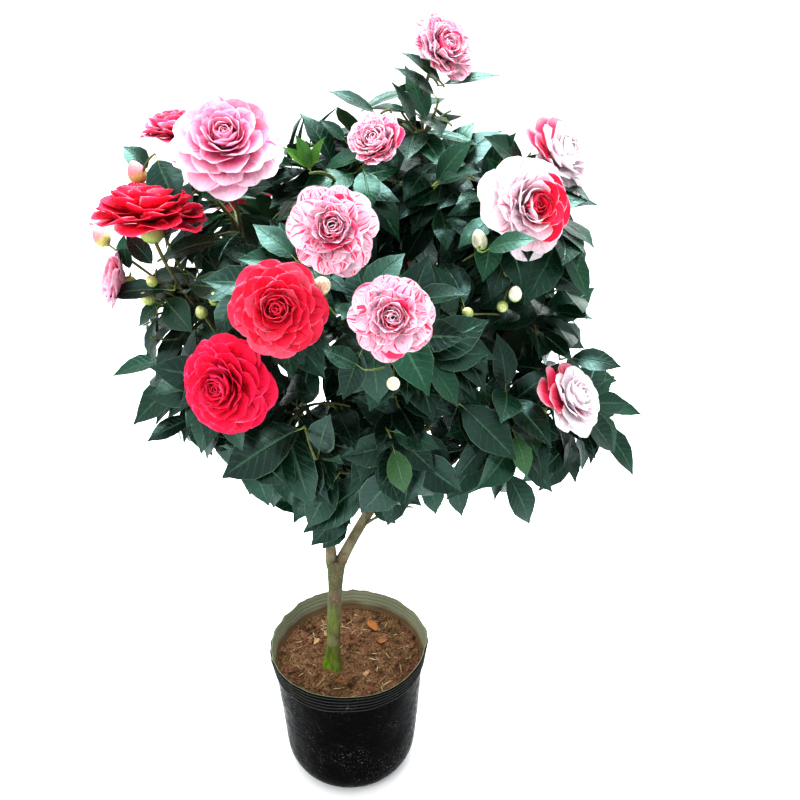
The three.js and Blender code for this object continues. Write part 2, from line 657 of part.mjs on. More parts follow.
// Each limb is cut clear of every limb that branched before it, so it starts at its
// parent's bark.
const standing = [trunkSolid(axes.trunk, GAP)];
for (const limb of LIMBS) {
  const body = mainBody(limbSolid(limb, 0).subtract(wasm.Manifold.union(standing)));
  standing.push(limbSolid(limb, GAP));
  shrub.add(meshOf(limb.name, body, BARK_GREY, 0.85));
}

const sites = [];
for (const mass of MASSES) {
  const tip = vector(LIMBS.find((limb) => limb.name === mass.bough).tip);
  const outward = tip.clone().sub(vector(CROWN_HEART)).normalize();
  const centre = tip.addScaledVector(outward, 0.25 * mass.reach);
  sites.push({ mass: mass.name, centre, radius: 0.75 * mass.reach });
}
for (const bloom of BLOOMS) {
  sites.push({ mass: bloom.mass, centre: vector(bloom.centre), radius: 0.56 * bloom.width });
}

const beads = limbBeads(LIMBS);
const spaceOf = (mass) => ({ mass: mass.name, sites, beads });
const frames = MASSES.map((mass, index) => {
  const bough = LIMBS.find((limb) => limb.name === mass.bough);
  return massFrame(mass, index, bough, spaceOf(mass));
});
const twigs = frames.map((frame) => [...frame.placed]);
MASSES.forEach((mass, index) => {
  const frame = frames[index];
  const foreign = twigs.filter((others, other) => other !== index).flat();
  for (const shoot of frame.shoots) {
    shootLeaves(shoot, frame, foreign, spaceOf(mass));
  }
  shrub.add(meshOf(mass.name, mainBody(wasm.Manifold.union(frame.placed)), LEAF_GREEN, 0.5));
});

export default shrub;
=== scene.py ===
# %% [markdown]
# # A camellia in a nursery pot
# A camellia grown as a small standard: a forked trunk in a soft black pot, a round crown
# of dark glossy leaves, and double blooms in red, crimson, blush and striped pink. The
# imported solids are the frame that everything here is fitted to, so they are loaded first.
# All sizes are in metres; tables that come from the part are in millimetres, times MM.

# %% Load the frame
import math

import bpy
import numpy as np
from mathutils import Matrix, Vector
from mathutils.bvhtree import BVHTree


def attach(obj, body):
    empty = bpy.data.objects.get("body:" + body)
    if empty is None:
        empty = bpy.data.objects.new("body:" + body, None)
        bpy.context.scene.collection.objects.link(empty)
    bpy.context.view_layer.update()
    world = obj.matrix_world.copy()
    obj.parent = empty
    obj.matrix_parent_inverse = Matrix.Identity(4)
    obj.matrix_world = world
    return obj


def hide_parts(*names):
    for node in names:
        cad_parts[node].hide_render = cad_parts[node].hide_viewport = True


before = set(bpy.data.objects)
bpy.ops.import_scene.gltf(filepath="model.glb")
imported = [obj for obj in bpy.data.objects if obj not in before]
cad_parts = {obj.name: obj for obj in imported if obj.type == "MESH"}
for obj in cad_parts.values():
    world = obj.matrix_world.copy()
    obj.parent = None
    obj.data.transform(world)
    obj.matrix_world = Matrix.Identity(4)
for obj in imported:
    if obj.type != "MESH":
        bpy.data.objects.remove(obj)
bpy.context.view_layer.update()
MM = 0.001

# %% [markdown]
# ## Camera first
# The view is fixed before any piece is made, so each piece is judged from where it will
# be seen. The camera stands about 1.2 m away, a little above the crown, and looks down
# by 26 degrees, as someone does who looks at a potted shrub on the ground.

# %% Camera
eye = bpy.data.cameras.new("eye")
eye.sensor_width = 36
eye.lens = 38.25
camera = bpy.data.objects.new("camera", eye)
camera.location = (0.072, -0.922, 1.039)
LOOK_DOWN = 26.3
camera.rotation_euler = (math.radians(90 - LOOK_DOWN), 0, 0)
bpy.context.collection.objects.link(camera)
bpy.context.scene.camera = camera
print("camera at", tuple(round(v, 3) for v in camera.location))

# %% [markdown]
# ## Chance that repeats
# A plant is grown by rules with some chance in them. The stream of chance numbers below
# is the same one that the solids were grown with, so the shoots here start from the same
# places. Noise for bark and soil is value noise: a lattice of random heights, blended.

# %% Chance
def seeded(seed):
    """Numbers from 0 to 1 in a fixed order: a counter is stepped, multiplied and folded."""
    state = seed

    def draw():
        nonlocal state
        state = (state + 0x6D2B79F5) & 0xFFFFFFFF
        mixed = ((state ^ (state >> 15)) * (1 | state)) & 0xFFFFFFFF
        mixed = ((mixed + ((mixed ^ (mixed >> 7)) * (61 | mixed))) ^ mixed) & 0xFFFFFFFF
        return (mixed ^ (mixed >> 14)) / 4294967296

    return draw


# large odd numbers that scatter the corners of the lattice, one for each axis and one for the seed
SCATTER = (73856093, 19349663, 83492791, 2654435761)


def rough(places, size, seed=0):
    """Smooth chance from -1 to 1: a point blends the values at the 8 corners of its cell
    of the given size, each by the product of 3f^2 - 2f^3 of its distances f."""
    scaled = np.asarray(places) / size
    cell = np.floor(scaled).astype(np.int64)
    f = scaled - cell
    f = f * f * (3 - 2 * f)
    total = 0
    for corner in np.ndindex(2, 2, 2):
        c = cell + corner
        h = c[..., 0] * SCATTER[0] ^ c[..., 1] * SCATTER[1] ^ c[..., 2] * SCATTER[2] ^ seed * SCATTER[3]
        h = ((h ^ (h >> 13)) * 1274126177) & 0xFFFFFFFF
        value = ((h ^ (h >> 16)) & 0xFFFF) / 32767.5 - 1
        total = total + value * np.prod(np.where(corner, f, 1 - f), axis=-1)
    return total


print("first chance numbers", [round(seeded(1000)(), 4), round(seeded(1017)(), 4)])

# %% [markdown]
# ## Vectors, curves and rings
# Nearly everything on a shrub is a ring carried along a path: trunk, twig, leaf stalk,
# and even a leaf or a petal, whose ring is a thin lens. One function makes the faces of
# many such rods at once, and another puts the arrays into a mesh in one call.

# %% Vectors and curves
def unit(v):
    """The vector over its length, along the last axis."""
    return v / np.maximum(np.linalg.norm(v, axis=-1, keepdims=True), 1e-12)


def sideways(d):
    """Two directions square to d: a reference axis crossed with d, and d crossed with it."""
    reference = np.array((1.0, 0, 0) if abs(d[2]) > 0.9 else (0, 0, 1.0))
    first = unit(np.cross(reference, d))
    return first, np.cross(d, first)


def beside(axis, angle):
    """The direction square to the axis, at an angle round it: cos a u + sin a v."""
    u, v = sideways(axis)
    return math.cos(angle) * u + math.sin(angle) * v


def ring_angles(sides):
    """Angles of the corners of a ring, evenly round a full turn."""
    return 2 * np.pi * np.arange(sides) / sides


def together(*parts):
    """Arrays spread to one shape, then laid side by side along a new last axis."""
    return np.stack(np.broadcast_arrays(*parts), -1)


def bezier(handles, t):
    """Each round blends every handle with the next by the share t until one is left. Also
    gives the heading there, which is the last difference before the end."""
    t = np.asarray(t, float)[..., None]
    rows = [np.asarray(h, float) for h in handles]
    while len(rows) > 2:
        rows = [a + (b - a) * t for a, b in zip(rows, rows[1:])]
    return rows[0] + (rows[1] - rows[0]) * t, unit(rows[1] - rows[0] + 0 * t)


# %% Faces and meshes
def rod_faces(count, rows, ring, turned=None):
    """Faces of count rods of rows rings each: a quad joins step (r, c) to (r, c+1),
    (r+1, c+1) and (r+1, c), the ring closes on itself, and both ends get one flat face.
    From column turned on, quads start a corner later, so that the underside of a thin
    blade splits into triangles along the same diagonals as its top and stays below it."""
    r = np.arange(rows - 1)[:, None] * ring
    c = np.arange(ring)[None]
    n = (c + 1) % ring
    quads = np.stack([r + c, r + n, r + ring + n, r + ring + c], -1)
    if turned is not None:
        quads[:, turned:] = np.roll(quads[:, turned:], -1, axis=-1)
    quads = quads.reshape(1, -1, 4)
    ends = np.stack([np.arange(ring)[::-1], (rows - 1) * ring + np.arange(ring)])[None]
    shift = np.arange(count)[:, None, None] * rows * ring
    return [(quads + shift).reshape(-1, 4), (ends + shift).reshape(-1, ring)]


def piece(name, points, blocks, material, tint=None, corner_uv=None, sharp=60):
    """One mesh object from an array of points and arrays of faces. tint is a colour for
    each point; corner_uv is a place on the pattern for each face corner."""
    mesh = bpy.data.meshes.new(name)
    points = np.asarray(points, np.float32).reshape(-1, 3)
    corners = np.concatenate([b.ravel() for b in blocks]).astype(np.int32)
    totals = np.concatenate([np.full(len(b), b.shape[1]) for b in blocks])
    mesh.vertices.add(len(points))
    mesh.vertices.foreach_set("co", points.ravel())
    mesh.loops.add(len(corners))
    mesh.loops.foreach_set("vertex_index", corners)
    mesh.polygons.add(len(totals))
    mesh.polygons.foreach_set("loop_start", (np.cumsum(totals) - totals).astype(np.int32))
    mesh.update(calc_edges=True)
    if corner_uv is not None:
        layer = mesh.uv_layers.new(name="pattern")
        layer.data.foreach_set("uv", np.asarray(corner_uv, np.float32).ravel())
    if tint is not None:
        layer = mesh.color_attributes.new(name="tint", type="FLOAT_COLOR", domain="POINT")
        layer.data.foreach_set("color", np.asarray(tint, np.float32).ravel())
    mesh.polygons.foreach_set("use_smooth", np.ones(len(totals), bool))
    mesh.set_sharp_from_angle(angle=math.radians(sharp))
    mesh.materials.append(material)
    made = bpy.data.objects.new(name, mesh)
    bpy.context.collection.objects.link(made)
    print(name, len(totals), "faces", int((totals - 2).sum()), "triangles")
    return made


def rods(paths, radii, sides):
    """Points of many rods (count, rows, sides, 3): at each step of its path a ring
    P + r (cos a u + sin a v), with u and v square to the path's heading."""
    ahead = unit(np.gradient(paths, axis=1))
    chord = np.abs(unit(paths[:, -1] - paths[:, 0]))
    reference = np.eye(3)[np.argmin(chord, axis=-1)][:, None]
    u = unit(np.cross(reference, ahead))[:, :, None]
    v = np.cross(ahead[:, :, None], u)
    a = ring_angles(sides)[:, None]
    radii = radii[:, :, None, None] if radii.ndim == 2 else radii[..., None]
    return paths[:, :, None] + radii * (np.cos(a) * u + np.sin(a) * v)


# %% [markdown]
# ## The limbs and the masses, as named places
# The solids were worked out from a short table: which limb leaves which parent, where it
# ends, how thick it is and which mass of leaves it carries, then which blooms that mass
# bears. The same table is used here, so the dressed shrub grows from the same limbs.

# %% Limbs
TRUNK_FOOT, TRUNK_FORK = np.array([-21, -22, 180]) * MM, np.array([-12, -10, 352]) * MM
FORK_SPREAD, GAP = 6.6 * MM, 0.3 * MM

# name, parent, place along it, side of the fork, tip, foot and end radius, lift, up, and then
# how far the mass of leaves that it carries reaches from its tip, and the shoots of that mass
LIMBS = [
    ("limb_left", "trunk", 1, -1, (-58, 10, 610), 7.2, 4.4, 0.75, 0.3, 0, 0),
    ("limb_right", "trunk", 1, 1, (122, 6, 640), 7.4, 4.4, 0, 0.7, 0, 0),
    ("leader", "limb_right", 0.93, 0, (96, -10, 884), 4.2, 2.6, 0.5, 0.5, 82, 4),
    ("upper_centre", "limb_left", 0.9, 0, (-8, -30, 824), 4, 2.6, 0.5, 0.5, 104, 5),
    ("upper_left", "limb_left", 0.96, 0, (-92, -46, 792), 4, 2.6, 0.6, 0.4, 104, 4),
    ("left", "limb_left", 0.8, 0, (-124, -88, 716), 4, 2.6, 0.4, 0.2, 88, 5),
    ("centre_left", "limb_left", 0.74, 0, (-42, -122, 752), 3.8, 2.6, 0.4, 0.4, 104, 5),
    ("front_left", "limb_left", 0.56, 0, (-84, -122, 668), 3.6, 2.6, 0.4, 0.3, 104, 6),
    ("lower_left", "limb_left", 0.46, 0, (-132, -48, 620), 3.6, 2.6, 0.3, 0.2, 92, 4),
    ("low_front_left", "limb_left", 0.3, 0, (-26, -116, 628), 3.4, 2.5, 0.3, 0.2, 112, 6),
    ("centre_front", "limb_right", 0.8, 0, (70, -138, 716), 3.8, 2.6, 0.4, 0.4, 104, 4),
    ("upper_right", "limb_right", 0.96, 0, (194, -52, 792), 4, 2.6, 0.5, 0.4, 104, 4),
    ("upper_mid", "leader", 0.35, 0, (122, 4, 822), 3.4, 2.5, 0.5, 0.4, 96, 5),
    ("right", "limb_right", 0.84, 0, (198, -44, 694), 4, 2.6, 0.3, 0.2, 102, 5),
    ("lower_right", "limb_right", 0.66, 0, (232, -64, 606), 3.8, 2.6, 0.3, 0.1, 98, 4),
    ("low_right", "limb_right", 0.5, 0, (152, -100, 626), 3.6, 2.5, 0.3, 0.1, 116, 6),
    ("low_front", "limb_right", 0.4, 0, (70, -122, 618), 3.4, 2.5, 0.3, 0.3, 104, 5),
    ("low_centre", "limb_right", 0.22, 0, (-8, -84, 552), 3.2, 2.5, 0.2, 0.1, 84, 4),
    ("back_left", "limb_left", 0.86, 0, (-88, 112, 716), 4, 2.6, 0.4, 0.3, 116, 4),
    ("back_right", "limb_right", 0.76, 0, (188, 112, 706), 4, 2.6, 0.4, 0.3, 116, 4),
    ("back_top", "limb_right", 0.88, 0, (66, 92, 780), 4, 2.6, 0.5, 0.5, 112, 4),
    ("back_low", "limb_left", 0.62, 0, (44, 128, 600), 3.6, 2.6, 0.3, 0.3, 116, 4),
]
MASSES = [(name, reach, count) for name, *_, reach, count in LIMBS if count]


def limb_handles(parent, at, side, tip, lift, up):
    """Four handles: the foot on the parent, a start that leans lift of the way towards
    the parent's heading, an end that leans up of the way upwards, and the tip."""
    foot, heading = bezier(parent, at)
    foot = foot + np.array([side * FORK_SPREAD, 0, abs(side) * GAP])
    tip = np.array(tip) * MM
    length = np.linalg.norm(tip - foot)
    span = (tip - foot) / length
    start = unit(span + (heading - span) * lift)
    finish = unit(span + (np.array([0, 0, 1]) - span) * up)
    return [foot, foot + start * length * 0.36, tip - finish * length * 0.36, tip]


height = TRUNK_FORK[2] - TRUNK_FOOT[2]
axes = {"trunk": [TRUNK_FOOT, TRUNK_FOOT + [0, 0, height * 0.35],
                  TRUNK_FORK + [-3 * MM, -1 * MM, -height * 0.3], TRUNK_FORK]}
thickness = {"trunk": (11.5 * MM, 10 * MM)}
for name, parent, at, side, tip, foot, end, lift, up, *_ in LIMBS:
    axes[name] = limb_handles(axes[parent], at, side, tip, lift, up)
    thickness[name] = (foot * MM, end * MM)
print("limbs", len(axes), "crown tip", np.round(axes["leader"][-1], 3))

# %% Masses, blooms and buds
HEART = np.array([36, 0, 650]) * MM

# mass, centre, width, heading and rise in degrees of the way it faces, cup, kind
BLOOMS = [
    ("upper_left", (-88, -120, 908), 100, 8, 40, 0.1, "blush"),
    ("upper_left", (-153, -46, 908), 68, -60, 82, 0.3, "rose"),
    ("left", (-165, -118, 846), 106, -20, 97, 0.08, "red"),
    ("left", (-214, -100, 768), 60, -75, 15, 0.5, "blush"),
    ("centre_left", (16, -228, 854), 76, 8, 24, 0.3, "striped"),
    ("centre_left", (-33, -236, 787), 82, 4, 20, 0.2, "red"),
    ("front_left", (-89, -220, 706), 92, -20, 14, 0.2, "crimson"),
    ("centre_front", (65, -256, 786), 72, 4, 24, 0.3, "striped"),
    ("upper_centre", (50, -120, 905), 60, -22, 40, 0.8, "striped"),
    ("leader", (115, -20, 978), 72, 36, 32, 0.55, "striped"),
    ("upper_right", (192, -138, 851), 94, 26, 18, 0.2, "bicolour"),
    ("upper_right", (232, -60, 884), 84, 50, 35, 0.3, "flecked"),
    ("lower_right", (249, -142, 656), 84, 58, 38, 0.2, "flecked"),
    ("back_left", (-130, 190, 800), 92, 215, 25, 0.2, "red"),
    ("back_top", (70, 196, 836), 88, 180, 30, 0.2, "striped"),
    ("back_right", (230, 190, 770), 86, 145, 20, 0.3, "blush"),
    ("back_low", (60, 238, 690), 84, 178, 12, 0.2, "crimson"),
]

# mass, middle, half thickness, kind
BUDS = [
    ("left", (-180, -96, 874), 9.5, "pink"), ("left", (-230, -80, 806), 8.5, "pink"),
    ("centre_left", (4, -212, 800), 8.5, "cream"), ("front_left", (-119, -152, 753), 6.5, "green"),
    ("front_left", (-104, -156, 768), 6.5, "green"), ("left", (-172, -122, 774), 6, "green"),
    ("left", (-178, -122, 757), 7.5, "green"), ("centre_front", (66, -236, 716), 6.5, "cream"),
    ("upper_right", (184, -136, 766), 7, "tall"), ("upper_right", (172, -136, 752), 6, "green"),
    ("right", (136, -160, 755), 6, "green"), ("low_right", (181, -124, 556), 6, "green"),
    ("lower_right", (221, -124, 630), 6.5, "green"), ("upper_right", (148, -124, 816), 8, "tall"),
    ("back_left", (-96, 176, 742), 7, "green"), ("back_right", (196, 180, 724), 7, "cream"),
]


def facing_of(heading, rise):
    """The way a bloom looks: heading turns it from the front to the right, rise lifts it."""
    h, r = math.radians(heading), math.radians(rise)
    return np.array([math.sin(h) * math.cos(r), -math.cos(h) * math.cos(r), math.sin(r)])


BLOOMS = [(mass, np.array(centre) * MM, width * MM, facing_of(heading, rise), cup, kind)
          for mass, centre, width, heading, rise, cup, kind in BLOOMS]
BUDS = [(mass, np.array(middle) * MM, half * MM, kind) for mass, middle, half, kind in BUDS]
print("masses", len(MASSES), "blooms", len(BLOOMS), "buds", len(BUDS))

# %% [markdown]
# ## Leaves and petals are one kind of surface
# A camellia leaf is a stiff oval with a drip tip, folded a little along its midrib and
# bent down towards the tip; a petal is a spoon with a round end. Both are a strip whose
# middle line is an arc and whose width follows an outline, so one function makes both.
# Each is a closed lens with eight points round it, so it has a top, an underside and a rim.

# %% Blades
LEAF_ROWS = np.array([0, 0.06, 0.2, 0.39, 0.6, 0.78, 0.9, 1])
PETAL_ROWS = np.array([0, 0.16, 0.4, 0.64, 0.83, 0.95, 1])
RING_T = np.array([-1, -0.5, 0, 0.5, 1, 0.5, 0, -0.5])       # places across the blade
RING_DROP = np.array([0, 0, 0, 0, 0, 1, 1, 1.0])              # 1 on the underside
RING_U = np.array([0, 0.25, 0.5, 0.75, 1, 1.25, 1.5, 1.75, 2])  # the pattern's u there
RING, TOP_COLUMNS = 8, 4                                     # corners, and quads on top


def leaf_outline(s):
    """Half width by the share s of the length: sin(pi s^0.88)^0.84, drawn in towards the
    tip by 1 - 0.75 s^6 so that it ends in a drip tip, and never quite zero."""
    return np.maximum(np.sin(np.pi * s**0.88) ** 0.84 * (1 - 0.75 * s**6), 0.03)


def petal_outline(s):
    """A claw that widens by a sine up to s = 0.7, then a round end like a circle's edge."""
    return (0.24 + 0.76 * np.sin(np.pi / 2 * np.minimum(s / 0.7, 1))) * np.sqrt(
        1 - 0.96 * (np.maximum(s - 0.7, 0) / 0.3) ** 2)


def blades(b, s, t, outline, drop=0):
    """Points (count, rows, ring, 3) of strips. The middle line bends by bend over its
    length L: root + L/bend (sin(bend s) along - (1 - cos(bend s)) normal). Across it, at
    t from -1 to 1, the strip rises by h (fold |t| + cup t^2) with h the half width there,
    ripples at its edges by a sine, and turns by twist s round the middle line."""
    col = lambda key: np.asarray(b[key], float)[:, None, None]
    along = b["along"][:, None, None]
    normal = unit(b["facing"] - np.sum(b["facing"] * b["along"], -1, keepdims=True) * b["along"])
    across = np.cross(b["along"], normal)[:, None, None]
    normal = normal[:, None, None]
    s, t = s[None, :, None], t[None, None]
    bend = np.where(np.abs(col("bend")) < 0.03, 0.03, col("bend"))
    angle, turn = bend * s, col("twist") * s
    sin, cos = np.sin(angle)[..., None], np.cos(angle)[..., None]
    middle = b["root"][:, None, None] + (col("length") / bend)[..., None] * (
        sin * along - (1 - cos) * normal)
    out = cos * normal + sin * along
    side = np.cos(turn)[..., None] * across + np.sin(turn)[..., None] * out
    out = np.cos(turn)[..., None] * out - np.sin(turn)[..., None] * across
    half = col("width") / 2 * outline(s)
    ripple = col("ripple") * np.sin(2 * np.pi * (col("waves") * s + col("phase"))) * t * np.abs(t)
    rise = half * (col("fold") * np.abs(t) + col("cup") * t * t) + ripple * half
    return middle + (t * half)[..., None] * side + (rise - drop * col("thick"))[..., None] * out


def blade_uv(count, rows):
    """Corner places: u runs 0 to 1 over the top and 1 to 2 over the underside, v from the
    root to the tip. The two end faces of each blade take one place each."""
    uv = np.stack(np.meshgrid(RING_U, rows), -1)
    quads = np.stack([uv[:-1, :-1], uv[:-1, 1:], uv[1:, 1:], uv[1:, :-1]], 2)
    quads[:, TOP_COLUMNS:] = np.roll(quads[:, TOP_COLUMNS:], -1, axis=2)
    ends = np.array([[0.5, 0.0], [0.5, 1.0]])[:, None].repeat(RING, 1)
    return np.concatenate([np.tile(part.reshape(-1, 2), (count, 1)) for part in (quads, ends)])


def collected(list_of_dicts):
    """One dictionary of arrays from many dictionaries of single values."""
    return {k: np.array([d[k] for d in list_of_dicts]) for k in list_of_dicts[0]}


print("faces in one leaf", rod_faces(1, len(LEAF_ROWS), RING)[0].shape[0] + 2)

# %% [markdown]
# ## Growing the shoots
# Each mass starts as one leading shoot that runs on from its bough; side shoots leave it
# in a spiral, and finer twigs leave those. Blooms and buds sit at the ends of shoots of
# their own. A twig is kept only where it stays in the mass's share of the crown and
# clear of the limbs, which is also what keeps the sky gaps of the real crown open.

# %% The shares of the crown
GOLDEN = math.pi * (3 - math.sqrt(5))
sites = []                      # the mass, the centre and the radius of each site
for name, reach, _ in MASSES:
    tip = axes[name][-1]
    sites.append((name, tip + unit(tip - HEART) * 0.25 * reach * MM, 0.75 * reach * MM))
for name, centre, width, *_ in BLOOMS:
    sites.append((name, centre, 0.56 * width))
site_owner, site_centre, site_radius = (np.array(column) for column in zip(*sites))


def depth_inside(points, name):
    """How deep points are in a mass's share of the crown. Sites part where the squared
    distances less the squared radii are equal, so the nearest such plane is the edge."""
    power = np.sum((points[:, None] - site_centre) ** 2, -1) - site_radius**2
    mine = site_owner == name
    own = np.argmin(np.where(mine, power, np.inf), axis=1)
    gap = np.linalg.norm(site_centre[None] - site_centre[own][:, None], axis=-1)
    own_power = power[np.arange(len(points)), own][:, None]
    return np.min(np.where(mine, np.inf, (power - own_power) / (2 * np.maximum(gap, 1e-9))), axis=1)


def tapered(foot, end, t):
    """A radius that goes from foot to end by (1 - t)^1.2."""
    return end + (foot - end) * (1 - t) ** 1.2


bead_t = np.linspace(0, 1, 60)
limb_names = [name for name in axes if name != "trunk"]
bead_centre = np.concatenate([bezier(axes[name], bead_t)[0] for name in limb_names])
bead_radius = np.concatenate([tapered(*thickness[name], bead_t) for name in limb_names])
print("sites", len(site_owner), "beads on the limbs", len(bead_centre))

# %% Keeping clear
EDGE_MARGIN = -11 * MM          # a leaf may pass the edge of its mass's share by this much
SPREAD = {name: (axes[name][-1], reach * MM) for name, reach, _ in MASSES}
CHECK_S, CHECK_T = np.array([0.08, 0.35, 0.7, 1.0]), np.array([-1, 0, 1.0])
placed = []                     # the middle, the reach and the tree of faces of every leaf and bloom

# where the sky shows through: two ends of a line and the radius to keep free round it
OPENINGS = [((-160, -230, 800), (-30, 200, 880), 17), ((-104, -230, 812), (-8, 220, 866), 13),
            ((302, -200, 770), (302, 250, 880), 40), ((-224, -200, 708), (-224, 200, 760), 28),
            ((146, -100, 905), (156, 150, 965), 21)]
OPENINGS = [(np.array(a) * MM, np.array(b) * MM, r * MM) for a, b, r in OPENINGS]


def clear(points, radius, name, margin):
    """True if the points stay in the mass's share and reach, off every limb, and out of
    the openings."""
    tip, reach = SPREAD[name]
    if depth_inside(points, name).min() < margin:
        return False
    if np.linalg.norm(points - tip, axis=-1).max() > reach:
        return False
    for first, second, free in OPENINGS:
        line = second - first
        t = np.clip((points - first) @ line / (line @ line), 0, 1)[:, None]
        if np.linalg.norm(points - first - t * line, axis=-1).min() < free:
            return False
    away = np.linalg.norm(points[:, None] - bead_centre, axis=-1) - bead_radius
    return away.min() > radius + 0.5 * MM


def crowded(middle, reach, tree):
    """True if a blade's faces cut those of any leaf or bloom already there."""
    for other, other_reach, faces in placed:
        if np.dot(middle - other, middle - other) < (reach + other_reach) ** 2 and tree.overlap(faces):
            return True
    return False


def tree_of(grid):
    """A search tree over the faces of a grid of points."""
    rows, cols = grid.shape[:2]
    faces = [(r * cols + c, r * cols + c + 1, (r + 1) * cols + c + 1, (r + 1) * cols + c)
             for r in range(rows - 1) for c in range(cols - 1)]
    return BVHTree.FromPolygons(grid.reshape(-1, 3).tolist(), faces)


def body_of(leaf):
    """A coarse grid over one leaf, and its middle, reach and search tree."""
    grid = blades({k: np.array([v]) for k, v in leaf.items()}, CHECK_S, CHECK_T, leaf_outline)[0]
    return grid, (grid[1:3, 1].mean(axis=0), leaf["length"] * 0.62, tree_of(grid))


# %% Leaves along a twig
LEAF, STALK, LEAF_THICK = 80 * MM, 7 * MM, 0.45 * MM
LEAF_TRIES = [(0, 1), (40, 1), (-40, 1), (80, 1), (-80, 1), (120, 0.85), (-120, 0.85), (0, 0.7)]
TWIG_STEPS = 9
looks = np.random.default_rng(7)
twigs, twig_feet, leaves, heads = [], [], [], []


def try_leaf(leaf, name):
    """Keeps a leaf if its outline is clear of the limbs, its neighbours and the edge of
    its mass's share."""
    grid, body = body_of(leaf)
    if not clear(grid[1:].reshape(-1, 3), 0, name, EDGE_MARGIN) or crowded(*body):
        return False
    placed.append(body)
    leaves.append(leaf)
    return True


def dress(handles, length, draw, outward, name, count, young):
    """Leaves up a twig by the golden angle: wider open near its foot, closer to the
    twig's heading at its tip, each sagging a little. They face up and outwards, and on
    the light side of the crown a little to the front. Where a leaf finds no room, it
    tries the next turn and size of LEAF_TRIES."""
    first = draw() * math.tau
    for i in range(count):
        turn, wide, size, sag = draw(), draw(), draw(), draw()
        rank = i / max(count - 1, 1)
        stem, along = bezier(handles, 0.26 + 0.72 * rank**0.8)
        tilt = math.radians(74 - 38 * rank + (wide - 0.5) * 18)
        long = LEAF * length * (0.84 + 0.3 * size)
        facing = np.array([0, -0.4 * (outward[1] < 0.3), 0.8]) + 0.5 * outward + 0.4 * along
        cosmetic = looks.random(8)
        for turned, scale in LEAF_TRIES:
            angle = first + i * GOLDEN + (turn - 0.5) * 0.5 + math.radians(turned)
            heading = unit(along * math.cos(tilt) + math.sin(tilt) * beside(along, angle)
                           + np.array([0, 0, -0.08 - 0.28 * sag]))
            leaf = dict(root=stem + heading * STALK, along=heading, stem=stem, facing=facing,
                        length=long * scale - 4 * MM, width=long * scale * (0.46 + 0.09 * cosmetic[0]),
                        bend=0.2 + 0.55 * cosmetic[1], fold=0.12 + 0.2 * cosmetic[2],
                        cup=-0.12 * cosmetic[3], ripple=0.05, waves=1.5 + cosmetic[4],
                        phase=cosmetic[5], twist=0.5 * (cosmetic[6] - 0.5), thick=LEAF_THICK,
                        shade=cosmetic[7], young=young)
            if try_leaf(leaf, name):
                break


def swing(start, end, lead):
    """Three handles from start to end whose middle one is pushed 0.22 of the way along lead."""
    middle = (start + end) / 2 + lead * 0.22 * np.linalg.norm(end - start)
    return [start, middle, end]


def add_twig(handles, foot, end):
    """A twig for the tubes: steps along its curve, tapering evenly from foot to end."""
    t = np.linspace(0, 1, TWIG_STEPS)
    twigs.append(bezier(handles, t)[0])
    twig_feet.append(foot + (end - foot) * t)
    return handles


# %% Growing one mass
EXTRA_SHOOTS = 2
SHOOT_LEAVES, TWIG_LEAVES = 8, 5
SPARSE = {"leader": 3}          # the leaves on each, in a mass that is thinner than the rest
YOUNG_SHARE = 0.006             # of the finer twigs carry young leaves


def aims_of(draw, index, tip, outward, reach, count):
    """Where the shoots of a mass end: in a spiral round the way it faces, opening with
    the square root of the number, so that they share the mass evenly."""
    aims = []
    for i in range(count):
        turn, lean, stretch = draw(), draw(), draw()
        angle = i * GOLDEN + (turn - 0.5) * 0.6 + index
        tilt = math.radians(12 + 92 * math.sqrt(i / count) + (lean - 0.5) * 16)
        way = outward * math.cos(tilt) + math.sin(tilt) * beside(outward, angle)
        aims.append(tip + way * (reach - 46) * MM * (0.9 + 0.2 * stretch))
    return aims


def bearers_of(name, start):
    """Where the blooms and buds of a mass sit: end, facing and end radius of each stalk.
    The buds are noted in heads as well, for the mesh of buds."""
    ends = [(centre - facing * 0.22 * width, facing, 1.5 * MM)
            for owner, centre, width, facing, *_ in BLOOMS if owner == name]
    for owner, place, half, kind in BUDS:
        if owner == name:
            facing = unit(unit(place - start) + np.array([0, 0, 1.6 if kind == "tall" else 0.25]))
            ends.append((place - facing * half, facing, 1.1 * MM))
            heads.append((place, facing, half, kind))
    return ends


